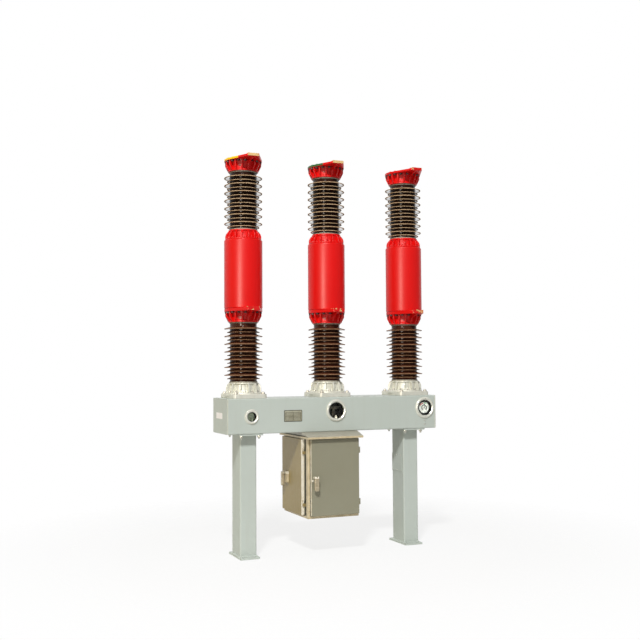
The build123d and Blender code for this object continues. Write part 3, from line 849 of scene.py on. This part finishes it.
def bellBolts(node):
    look = bell
    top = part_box(node)[0][2] + look["tall"]
    seat = betweenRibs(look, look["boltRadius"], top)
    return circleOf(hexBolt("bellBolts", seat, (0, 0, -1), 0.019, 0.011, washer=0.0115), look["ribs"])


def topNuts(node, plateTall):
    look = bell
    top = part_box(node)[0][2] + look["tall"] + plateTall
    angle = math.pi / look["ribs"]
    turns = [angle * (2 * number + 1) for number in range(-3, 11)]  # the tongue has none
    return joined("topNuts", [hexBolt("topNut", (look["topRadius"] * math.cos(turn),
                                                 look["topRadius"] * math.sin(turn), top),
                                      (0, 0, 1), 0.017, 0.0055) for turn in turns])


plateTall = {"lower": 0.024, "head": 0.018}
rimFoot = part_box("middle_head")[0][2] + bell["tall"] + 0.002
headFinish = {pole: phasePaint(f"{pole}HeadPaint", pole, rimFoot) if phaseLook[pole] else finishes["red"]
              for pole in poles}
mostlyBare, partlyBare = contactFinish("bareContact", 0.85), contactFinish("scrapedContact", 0.3)
headContact = {"left": mostlyBare, "middle": mostlyBare, "right": partlyBare}
onEachPole(makeBell("middle_lower_terminal", plateTall["lower"]), "LowerTerminal", finishes["red"],
           "red_paint")
onEachPole(makeContact("middle_lower_terminal"), "LowerContact", partlyBare, "red_paint", replaced=False)
onEachPole(bellBolts("middle_lower_terminal"), "LowerTerminalBolts", finishes["shadedRedBolt"], "red_paint",
           replaced=False)
onEachPole(makeBell("middle_head", plateTall["head"]), "Head", headFinish, "red_paint")
onEachPole(makeContact("middle_head"), "HeadContact", headContact, "red_paint", replaced=False)
onEachPole(bellBolts("middle_head"), "HeadBolts", finishes["shadedRedBolt"], "red_paint", replaced=False)
onEachPole(topNuts("middle_head", plateTall["head"]), "HeadNuts", headFinish, "red_paint", replaced=False)
print("terminals done")

tank = {"radius": 0.1475, "round": 0.010}


def makeTank():
    low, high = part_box("middle_tank")
    return turned("tank", [(0, low[2], 0), (tank["radius"], low[2], tank["round"]),
                           (tank["radius"], high[2], tank["round"]), (0, high[2], 0)], 128, 6)


crown = {"foot": 0.140, "core": 0.109, "ribs": 16, "ribThick": 0.012, "boltRadius": 0.1275}


def makeCrown():
    look = crown
    low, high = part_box("middle_tank_crown")
    foot, top = low[2], high[2]
    core = turned("crownCore", [(0, foot, 0), (look["foot"], foot, 0.003), (look["foot"], foot + 0.010, 0.003),
                                (0.114, foot + 0.013, 0.006), (look["core"], foot + 0.060, 0.004),
                                (0.1145, foot + 0.064, 0.002), (0.1145, top, 0.003), (0, top, 0)])
    rib = slab("crownRib", [(0.102, foot + 0.004), (0.1395, foot + 0.004), (0.1395, foot + 0.0304),
                            (0.134, foot + 0.047), (0.117, foot + 0.068), (0.102, foot + 0.068)],
               look["ribThick"], 0.004, 3)
    return joined("crown", [core, circleOf(rib, look["ribs"])])


def crownBolts():
    look = crown
    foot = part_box("middle_tank_crown")[0][2]
    seat = betweenRibs(look, look["boltRadius"], foot + 0.010)
    return circleOf(hexBolt("crownBolts", seat, (0, 0, 1), 0.017, 0.009, washer=0.0105), look["ribs"])


onEachPole(makeTank(), "Tank", finishes["red"], "red_paint")
onEachPole(makeCrown(), "TankCrown", finishes["red"], "red_paint")
onEachPole(crownBolts(), "CrownBolts", finishes["red"], "red_paint", replaced=False)
print("tanks done")


leg = {"tube": (0.066, 0.098), "tubeRound": 0.010, "weld": 0.006, "foot": (0.076, 0.145, 0.016),
       "head": (0.094, 0.170, 0.012), "anchor": (0.050, 0.123, 0.009), "bolt": (0.070, 0.142)}


def makeLeg(node, name):
    look = leg
    low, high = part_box(node)
    x = middleOf(node).x
    halfX, halfY = look["tube"]
    footTop = look["foot"][2]
    headFoot = high[2] - look["head"][2]
    tube = block("tube", (x - halfX, -halfY, footTop), (x + halfX, halfY, headFoot))
    roundUpright(tube, look["tubeRound"], 5, 0.1)
    shade(tube)
    weld = look["weld"]
    outX, outY = halfX + weld, halfY + weld
    beads = [block("weldBead", (x - outX, -outY, level - weld), (x + outX, outY, level + weld),
                   weld * 0.95, 3) for level in (footTop, headFoot)]
    foot = block("footPlate", (x - look["foot"][0], -look["foot"][1], 0),
                 (x + look["foot"][0], look["foot"][1], footTop), 0.0015)
    anchorX, anchorY, anchorR = look["anchor"]
    anchors = [(x + i * anchorX, j * anchorY) for i in (-1, 1) for j in (-1, 1)]
    drilled(foot, [rod("cutter", (*place, -0.01), (*place, 0.03), anchorR) for place in anchors])
    head = block("headPlate", (x - look["head"][0], -look["head"][1], headFoot),
                 (x + look["head"][0], look["head"][1], high[2]), 0.0015)
    return joined(name, [tube, foot, head] + beads)


def legBolts(node, name):
    look = leg
    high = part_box(node)[1]
    x = middleOf(node).x
    seat = high[2] - look["head"][2]
    return joined(name, [hexBolt("legBolt", (x + i * look["bolt"][0], j * look["bolt"][1], seat), (0, 0, -1),
                                 0.024, 0.013, washer=0.017, shank=0.012) for i in (-1, 1) for j in (-1, 1)])


for side in ("left", "right"):
    dress(makeLeg(f"{side}_leg", f"{side}Leg"), finishes["frame"], "frame_paint", f"{side}_leg")
    dress(legBolts(f"{side}_leg", f"{side}LegBolts"), finishes["rim"], "bright_handle")

legCoverScrews = {"inset": 0.012, "radius": 0.0045, "tall": 0.0025}


def coverScrews():
    low, high = [Vector(corner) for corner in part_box("leg_cover")]
    look = legCoverScrews
    places = [(low.x, y, z) for y in (low.y + look["inset"], (low.y + high.y) / 2, high.y - look["inset"])
              for z in (low.z + look["inset"], high.z - look["inset"])]
    return joined("legCoverScrews", [panScrew("coverScrew", place, (-1, 0, 0), look["radius"], look["tall"])
                                     for place in places])


dress(dressedCopy("leg_cover", "legCover", 0.0008), finishes["frame"], "frame_paint", "leg_cover")
dress(coverScrews(), finishes["zinc"], "bright_handle")
dress(dressedCopy("beam_shell", "beamShell", 0.0012), finishes["frame"], "frame_paint", "beam_shell")
dress(dressedCopy("beam_bottom_cover", "beamBottomCover", 0.001), finishes["frame"], "frame_paint",
      "beam_bottom_cover")
label = {"y": (-0.058, 0.094), "z": (1.048, 1.093), "thick": 0.0006}
for side in ("left", "right"):
    cover = dressedCopy(f"{side}_end_cover", f"{side}EndCover", 0.001)
    for corner in cover.data.vertices:  # the outer face steps back by the label's thickness
        if abs(corner.co.x) > cadHigh[0] - label["thick"]:
            corner.co.x -= math.copysign(label["thick"], corner.co.x)
    dress(cover, finishes["frame"], "frame_paint", f"{side}_end_cover")

endScrew = {"y": (-0.158, 0.158), "z": (0.965, 1.069, 1.172), "radius": 0.006, "tall": 0.0035}


def endScrews():
    screws = []
    for x, facing in ((beamLow.x - 0.004, -1), (beamHigh.x + 0.004, 1)):
        seat = x - facing * 0.0037
        for y in endScrew["y"]:
            for z in endScrew["z"]:
                screws.append(panScrew("endScrew", (seat, y, z), (facing, 0, 0), endScrew["radius"],
                                       endScrew["tall"]))
    return joined("endCoverScrews", screws)


dress(endScrews(), finishes["zinc"], "bright_handle")
print("frame done")


windows = {
    "indicator": {"open": 0.037, "rim": 0.057, "screws": 4},
    "viewer": {"open": 0.065, "rim": 0.086, "screws": 6},
    "gauge": {"open": 0.064, "rim": 0.086, "screws": 6},
}
bezel = {"tall": 0.012, "step": 0.0015, "glass": 0.004, "slope": 0.008}


def faceFront(piece, node, depth=0.0):  # its own Z looks out of the beam's front wall, at the node's middle
    centre = middleOf(node)
    place = Matrix.Translation((centre.x, beamLow.y + depth, centre.z))
    piece.matrix_world = place @ Matrix.Rotation(math.pi / 2, 4, "X")
    return settle(piece)


def makeBezel(name, look):
    inner, outer, slope = look["open"] - bezel["step"], look["rim"], bezel["slope"]
    tall, seat = bezel["tall"], bezel["glass"]
    ring = turned("ring", [(look["open"], 0, 0), (outer, 0, 0), (outer, tall * 0.35, 0.0015),
                           (outer - slope, tall, 0.002), (inner + slope, tall, 0.002),
                           (inner, tall * 0.5, 0.0015), (inner, seat, 0), (look["open"], seat, 0),
                           (look["open"], 0, 0)], 72)
    return faceFront(called(ring, f"{name}Rim"), f"{name}_rim")


def bezelScrews(name, look):
    radius = (look["open"] + look["rim"]) / 2
    screw = panScrew("rimScrew", (0, radius, bezel["tall"] - 0.0005), (0, 0, 1), 0.004, 0.003)
    return faceFront(called(circleOf(screw, look["screws"]), f"{name}RimScrews"), f"{name}_rim")


def bezelGasket(name, look):
    inner = look["open"] - bezel["step"]
    gasket = turned("gasket", [(inner - 0.001, 0.0042, 0), (inner, 0.0042, 0), (inner, 0.0065, 0.0006),
                               (inner - 0.001, 0.006, 0.0006), (inner - 0.001, 0.0042, 0)], 64)
    return faceFront(called(gasket, f"{name}Gasket"), f"{name}_rim")


for name, look in windows.items():
    dress(makeBezel(name, look), finishes["rim"], "bare_metal_rim", f"{name}_rim")
    dress(bezelScrews(name, look), finishes["zinc"], "bare_metal_rim")
    dress(bezelGasket(name, look), finishes["rubber"], "dark_interior")
    for node, finishName in ((f"{name}_glass", "glass"), (f"{name}_can", "interior")):
        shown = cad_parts[node]
        shown.data.materials.clear()
        shown.data.materials.append(finishes[finishName])
print("windows done")

dial = {"case": 0.0625, "face": 0.045, "back": 0.034, "front": 0.003, "level": 0.010, "ink": 0.0006,
        "band": (0.035, 0.042), "red": (154, 102), "green": (97, 62), "scale": (0.0295, 0.033), "ticks": 13,
        "ring": (0.0165, 0.0250), "ringFrom": -55, "ringTo": 235, "needle": 76}


def bandOutline(inner, outer, start, end, steps=20):
    angles = [math.radians(start + (end - start) * step / steps) for step in range(steps + 1)]
    points = [(outer * math.cos(angle), outer * math.sin(angle)) for angle in angles]
    points += [(inner * math.cos(angle), inner * math.sin(angle)) for angle in reversed(angles)]
    return points + points[:1]


def dialBand(name, radii, start, end):
    level = -dial["level"]
    return flatPlate(name, bandOutline(*radii, start, end), level, level + dial["ink"])


def onDial(piece, name, finishName):
    faceFront(called(piece, name), "gauge_rim")
    dress(piece, finishes[finishName], "dark_interior")


def makeDial():
    look = dial
    level = -look["level"]
    case = turned("case", [(look["face"], -look["back"], 0), (look["case"], -look["back"], 0),
                           (look["case"], -look["front"], 0.002),
                           (look["face"] + 0.008, -look["front"], 0.002),
                           (look["face"], level + 0.001, 0.001), (look["face"], -look["back"], 0)], 72)
    face = turned("face", [(0, level - 0.001, 0), (look["face"] + 0.0005, level - 0.001, 0),
                           (look["face"] + 0.0005, level, 0), (0, level, 0)], 72)
    onDial(case, "gaugeCase", "dialBlack")
    onDial(face, "gaugeFace", "dialWhite")
    onDial(dialBand("red", look["band"], *look["red"]), "gaugeRedBand", "dialRed")
    onDial(dialBand("green", look["band"], *look["green"]), "gaugeGreenBand", "dialGreen")
    onDial(dialBand("ring", look["ring"], look["ringFrom"], look["ringTo"]), "gaugeRing", "dialGrey")
    inner, outer = look["scale"]
    tick = block("tick", (inner, -0.0005, level), (outer, 0.0005, level + look["ink"]))
    ticks = [copied(tick, "tick", turn=math.radians(-45 + 270 * number / (look["ticks"] - 1)))
             for number in range(look["ticks"])]
    bpy.data.objects.remove(tick)
    line = dialBand("line", (outer, outer + 0.0006), -45, 225)
    onDial(joined("scale", ticks + [line]), "gaugeScale", "dialBlack")
    pointer = flatPlate("pointer", [(-0.010, -0.0014), (0.034, -0.0004), (0.034, 0.0004), (-0.010, 0.0014),
                                    (-0.010, -0.0014)], level + 0.0018, level + 0.0026)
    pointer.rotation_euler.z = math.radians(look["needle"])
    hub = turned("hub", [(0, level, 0), (0.0042, level, 0), (0.0042, level + 0.0034, 0.001),
                         (0, level + 0.004, 0)], 24)
    onDial(joined("needle", [settle(pointer), hub]), "gaugeNeedle", "dialBlack")


makeDial()

viewer = {"bar": (0.062, 0.009, 0.031), "barDepth": (0.062, 0.052), "column": 0.013, "lug": 0.012,
          "lugLevel": -0.051}


def makeLinkage():  # the lever and its rod behind the middle window
    look = viewer
    wide, low, high = look["bar"]
    deep, near = look["barDepth"]
    lever = block("lever", (-wide, low, -deep), (wide, high, -near), 0.002)
    column = block("column", (-look["column"], -wide, -deep), (look["column"], low + 0.002, -near - 0.002),
                   0.003)
    pin = rod("pin", (0, (low + high) / 2, -deep), (0, (low + high) / 2, -near + 0.006), 0.009, 0.001)
    return faceFront(joined("viewerLinkage", [lever, column, pin]), "viewer_rim")


def makeLug():  # bright stop under the rod
    look = viewer
    lug = flatPlate("lug", [(-look["lug"], look["lugLevel"] - 0.012), (look["lug"], look["lugLevel"] - 0.012),
                            (0.004, look["lugLevel"] + 0.014), (-0.004, look["lugLevel"] + 0.014),
                            (-look["lug"], look["lugLevel"] - 0.012)], -0.012, -0.006, 0.001)
    return faceFront(called(lug, "viewerStop"), "viewer_rim")


def makeFlag():  # bare round flag in the small window
    flag = rod("flag", (-0.004, 0, -0.012), (-0.004, 0, -0.009), 0.0285, 0.0005, 48)
    return faceFront(called(flag, "indicatorFlag"), "indicator_rim")


dress(makeLinkage(), finishes["linkage"], "dark_interior")
dress(makeLug(), finishes["return"], "bare_metal_rim")
dress(makeFlag(), finishes["flag"], "dark_interior")

gaugeBolts = {"levels": (0.998, 0.968), "radius": 0.0055, "tall": 0.004}
namePlate = {"x": (-0.435, -0.288), "z": (1.021, 1.108), "thick": 0.0015, "border": 0.004, "ink": 0.0005,
             "corner": 0.006, "rivet": 0.0022, "rows": 6}


def belowGauge():
    look, x = gaugeBolts, middleOf("gauge_rim").x
    return joined("gaugeBolts", [panScrew("valveScrew", (x, beamLow.y, level), (0, -1, 0), look["radius"],
                                          look["tall"]) for level in look["levels"]])


def upright(name, outline, thick):  # a plate standing on the beam's front wall, drawn as seen from the front
    plate = flatPlate(name, outline, 0, thick)
    plate.matrix_world = Matrix.Translation((0, beamLow.y, 0)) @ Matrix.Rotation(math.pi / 2, 4, "X")
    return settle(plate)


def roundedBox(low, high, corner, steps=5):
    points = []
    for x, y, start in ((high[0] - corner, high[1] - corner, 0), (low[0] + corner, high[1] - corner, 90),
                        (low[0] + corner, low[1] + corner, 180), (high[0] - corner, low[1] + corner, 270)):
        for step in range(steps + 1):
            angle = math.radians(start + 90 * step / steps)
            points.append((x + corner * math.cos(angle), y + corner * math.sin(angle)))
    return points + points[:1]


def makeNamePlate():
    look = namePlate
    (left, right), (foot, head) = look["x"], look["z"]
    plate = upright("namePlate", roundedBox((left, foot), (right, head), look["corner"]), look["thick"])
    front = beamLow.y - look["thick"]
    rivets = [rod("rivet", (x, front + 0.0002, z), (x, front - 0.001, z), look["rivet"], 0.0004, 12)
              for x in (left + 0.007, right - 0.007) for z in (foot + 0.007, head - 0.007)]
    return joined("namePlate", [plate] + rivets)


def namePlateLines():  # an empty ruled form
    look = namePlate
    left, right = look["x"][0] + 0.012, look["x"][1] - 0.012
    foot, head = look["z"][0] + 0.010, look["z"][1] - 0.018
    front = beamLow.y - look["thick"]
    thin = 0.0012
    lines = [block("line", (left, front - look["ink"], z - thin), (right, front + 0.0003, z + thin))
             for z in [foot + (head - foot) * number / look["rows"] for number in range(look["rows"] + 1)]]
    lines += [block("line", (x - thin, front - look["ink"], foot), (x + thin, front + 0.0003, head))
              for x in (left, (left + right) / 2, right)]
    (left, right), (foot, head), border = look["x"], look["z"], look["border"]
    edge = upright("edge", roundedBox((left, foot), (right, head), look["corner"]),
                   look["thick"] + look["ink"])
    inside = upright("cutter", roundedBox((left + border, foot + border), (right - border, head - border),
                                          look["corner"] - 0.002), 0.01)
    return joined("namePlateLines", lines + [drilled(edge, [inside])])


def makeLabel():  # bare, on the left end, in the room that its cover leaves
    look = label
    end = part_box("left_end_cover")[0][0]
    return block("endLabel", (end, look["y"][0], look["z"][0]), (end + look["thick"] * 2, look["y"][1],
                                                                look["z"][1]), 0.0001)


beadWide = 0.005


def cornerHighlightStrips():  # pale bead on the seam between each end cover and the beam's front: a painted highlight where the front corner catches the light
    beads = []
    for x, side in ((beamLow.x, 1), (beamHigh.x, -1)):
        beads.append(block("bead", (min(x, x + side * beadWide), beamLow.y - 0.0008, beamLow.z + 0.001),
                           (max(x, x + side * beadWide), beamLow.y + 0.001, beamHigh.z - 0.001), 0.0006))
    return joined("cornerHighlightStrips", beads)


dress(belowGauge(), finishes["zinc"], "bright_handle")
dress(makeNamePlate(), finishes["plate"], "bare_metal_rim")
dress(namePlateLines(), finishes["linkage"], "bare_metal_rim")
dress(makeLabel(), finishes["label"], "frame_paint")
dress(cornerHighlightStrips(), finishes["edgeHighlight"], "frame_paint")
print("plates done")


def paintLitFaces(piece, material, facing, least=0.7):  # a second finish on the faces that look one way; on the doors' folded edges it is a painted highlight
    piece.data.materials.append(material)
    for face in piece.data.polygons:
        if face.normal.dot(Vector(facing)) > least:
            face.material_index = 1
    return piece


cabinetLow, cabinetHigh = [Vector(corner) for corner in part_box("cabinet_body")]
roofLow, roofHigh = [Vector(corner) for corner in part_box("cabinet_roof")]
trimLook = {"thick": 0.0006, "post": 0.018, "sill": 0.019, "sidePost": 0.0341, "lip": 0.015,
            "doorFoot": 0.304, "doorHead": 0.882, "seal": 0.014}


def cornerTrim():  # folded angle round the front corner, with its foot rail
    look = trimLook
    low, high, thick = cabinetLow, cabinetHigh, look["thick"]
    top, sill = roofLow.z, low.z + look["sill"]
    front, side = low.x + look["post"], low.y + look["sidePost"]
    parts = [block("trim", (low.x - thick, low.y - thick, low.z), (front, low.y + thick, top), 0.0003),
             block("trim", (low.x - thick, low.y + thick, low.z), (low.x + thick, side, top), 0.0003),
             block("trim", (front, low.y - thick, low.z), (high.x, low.y + thick, sill), 0.0003),
             block("trim", (low.x - thick, side, low.z), (low.x + thick, high.y, sill), 0.0003)]
    return joined("cornerTrim", parts)


def doorGapShadows():  # near-black strips, drawn as rubber, in the gap beside and under each door: painted shadow in the gaps
    look = trimLook
    low, high = cabinetLow, cabinetHigh
    foot, head, thick = look["doorFoot"], look["doorHead"], look["thick"] * 1.5
    front = [Vector(corner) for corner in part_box("front_door")]
    side = [Vector(corner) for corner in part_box("side_door")]
    seals = [block("seal", (front[0].x - 0.005, low.y - thick, foot), (front[0].x - 0.0002, low.y, head)),
             block("seal", (front[0].x, low.y - thick, foot - 0.004), (high.x, low.y, foot)),
             block("seal", (low.x - thick, side[0].y - look["seal"] - 0.012, foot),
                   (low.x, side[0].y - 0.004, head)),
             block("seal", (low.x - thick, side[0].y, foot - 0.004), (low.x, side[1].y, foot))]
    return joined("doorGapShadows", seals)


def roofLipHighlights():  # thin tan sheets on the turned-down lip: a painted highlight where the lip catches the light
    look = trimLook
    low, high, thick = roofLow, roofHigh, look["thick"]
    lip = low.z + look["lip"]
    parts = [block("lip", (low.x - thick, low.y - thick, low.z), (high.x + thick, low.y + thick, lip),
                   0.0003),
             block("lip", (low.x - thick, low.y + thick, low.z), (low.x + thick, high.y, lip), 0.0003)]
    return joined("roofLipHighlights", parts)


for part, finishName in (("Body", "cabinet"), ("Roof", "roof")):
    node = f"cabinet_{part.lower()}"
    dress(dressedCopy(node, f"cabinet{part}", 0.0015), finishes[finishName], "cabinet_paint", node)
dress(cornerTrim(), finishes["trim"], "cabinet_paint")
dress(doorGapShadows(), finishes["dialBlack"], "dark_interior")
dress(roofLipHighlights(), finishes["trim"], "cabinet_paint")
# return: the way the folded edge faces look that get the painted highlight
doors = {"front": {"finish": "cabinet", "hinges": "cabinet", "return": (-1, 0, 0)},
         "side": {"finish": "cabinetSideWarmSheen", "hinges": "cabinetSideWarmSheen", "return": (0, -1, 0)}}
for side, look in doors.items():
    door = dressedCopy(f"{side}_door", f"{side}Door", 0.0012)
    dress(door, finishes[look["finish"]], "cabinet_paint", f"{side}_door", body=f"{side}_door")
    paintLitFaces(door, finishes["return"], look["return"])
    dress(dressedCopy(f"{side}_hinges", f"{side}Hinges", 0.0008), finishes[look["hinges"]], "cabinet_paint",
          f"{side}_hinges")

lever = {"half": 0.017, "top": 0.017, "foot": -0.095, "deep": 0.018, "wall": 0.0032, "neck": 0.011,
         "shaft": 0.006, "shaftEnd": 0.0535, "doorFace": 0.043, "boss": 0.038, "bossGap": 0.0165,
         "plate": ((-0.018, -0.070), (0.056, 0.018)), "plateThick": 0.0188,
         "cap": ((-0.0125, -0.006), (0.0125, 0.003)), "bright": 0.001}
pivots = {"front": {"place": (-0.213, -0.2955, 0.592), "turn": 0}, "side": {"place": (-0.3285, 0.165, 0.592),
                                                                         "turn": -math.pi / 2}}


def splitAcross(piece, level):  # cuts the faces at one height, so that the end above it can take a painted highlight
    focus(piece)
    bpy.ops.object.mode_set(mode="EDIT")
    bpy.ops.mesh.select_all(action="SELECT")
    bpy.ops.mesh.bisect(plane_co=(0, level, 0), plane_no=(0, 1, 0))
    bpy.ops.object.mode_set(mode="OBJECT")
    return flatFaces(piece)


# the faces above the pivot are painted cream: a painted highlight where light falls on the upper end from
# above
def paintLitTop(piece, side):
    piece.data.materials.append(finishes["return"])
    level = pivots[side]["place"][2] + lever["bright"]
    for face in piece.data.polygons:
        if face.center.z > level:
            face.material_index = 1


def onDoor(piece, side):  # drawn at the pivot as seen from outside, then stood on its door
    place = Matrix.Translation(pivots[side]["place"]) @ Matrix.Rotation(pivots[side]["turn"], 4, "Z")
    piece.matrix_world = place @ Matrix.Rotation(math.pi / 2, 4, "X")
    return settle(piece)


def makeLever(side):  # pressed channel, open at its upper end
    look = lever
    half, top, foot, deep, wall = (look[key] for key in ("half", "top", "foot", "deep", "wall"))
    body = flatPlate("lever", roundedBox((-half, foot), (half, top), 0.009), -deep, 0, 0.0035, 3)
    hollow = flatPlate("cutter", roundedBox((wall - half, foot + wall * 2), (half - wall, top + 0.03), 0.006),
                       -deep - 0.01, -wall)
    notch = flatPlate("cutter", [(-0.0105, top + 0.002), (0, top - 0.016), (0.0105, top + 0.002),
                                 (-0.0105, top + 0.002)], -deep - 0.01, 0.01)
    body = splitAcross(drilled(body, [hollow, notch]), look["bright"])
    neck = rod("neck", (0, 0, -wall * 0.9), (0, 0, 0.0005 - look["boss"]), look["neck"], 0.0006, 32)
    shaft = rod("shaft", (0, 0, -look["deep"]), (0, 0, -look["shaftEnd"]), look["shaft"], 0.0005)
    return onDoor(joined(f"{side}Handle", [body, neck, shaft]), side)


def makeLeverCap(side):  # end of the shaft's key housing, seen between the channel's walls, coloured cream as a painted highlight
    look = lever
    (left, foot), (right, head) = look["cap"]
    cap = block("cap", (left, foot, 0.0005 - look["deep"]), (right, head, -look["wall"] * 0.9), 0.001)
    return onDoor(called(cap, f"{side}HandleCap"), side)


def makeLockCase(side):  # raised case beside the side door's lever
    look = lever
    back, thick = -look["doorFace"], look["plateThick"]
    (left, foot), (right, head) = look["plate"]
    plate = flatPlate("plate", roundedBox((left, foot), (right, head), 0.007), back, back + thick, 0.0015)
    drilled(plate, [rod("cutter", (0, 0, back - 0.01), (0, 0, back + 0.02), look["bossGap"])])
    splitAcross(plate, look["bright"])
    screws = [panScrew("screw", (right - 0.009, y, back + thick), (0, 0, 1), 0.004, 0.002)
              for y in (foot + 0.009, head - 0.009)]
    return onDoor(joined(f"{side}LockCase", [plate] + screws), side)


def makeLock():  # small key lock near the door's free edge
    back = -lever["doorFace"]
    return onDoor(turned("frontLock", [(0, back, 0), (0.0075, back, 0), (0.0075, back + 0.004, 0.001),
                                       (0.004, back + 0.005, 0.001), (0, back + 0.005, 0)], 28), "front")


for side in doors:
    node = f"{side}_handle"
    handle = dress(makeLever(side), finishes["handle"], "bright_handle", node, body=node)
    paintLitTop(handle, side)
    dress(makeLeverCap(side), finishes["return"], "bright_handle", body=node)
lockCase = dress(makeLockCase("side"), finishes["trim"], "bright_handle", body="side_door")
# the lock case's upper end gets the painted highlight too
paintLitTop(lockCase, "side")
lock = makeLock()
lock.location = (-0.020, 0, -0.020)
dress(settle(lock), finishes["return"], "bright_handle", body="front_door")
print("cabinet done")
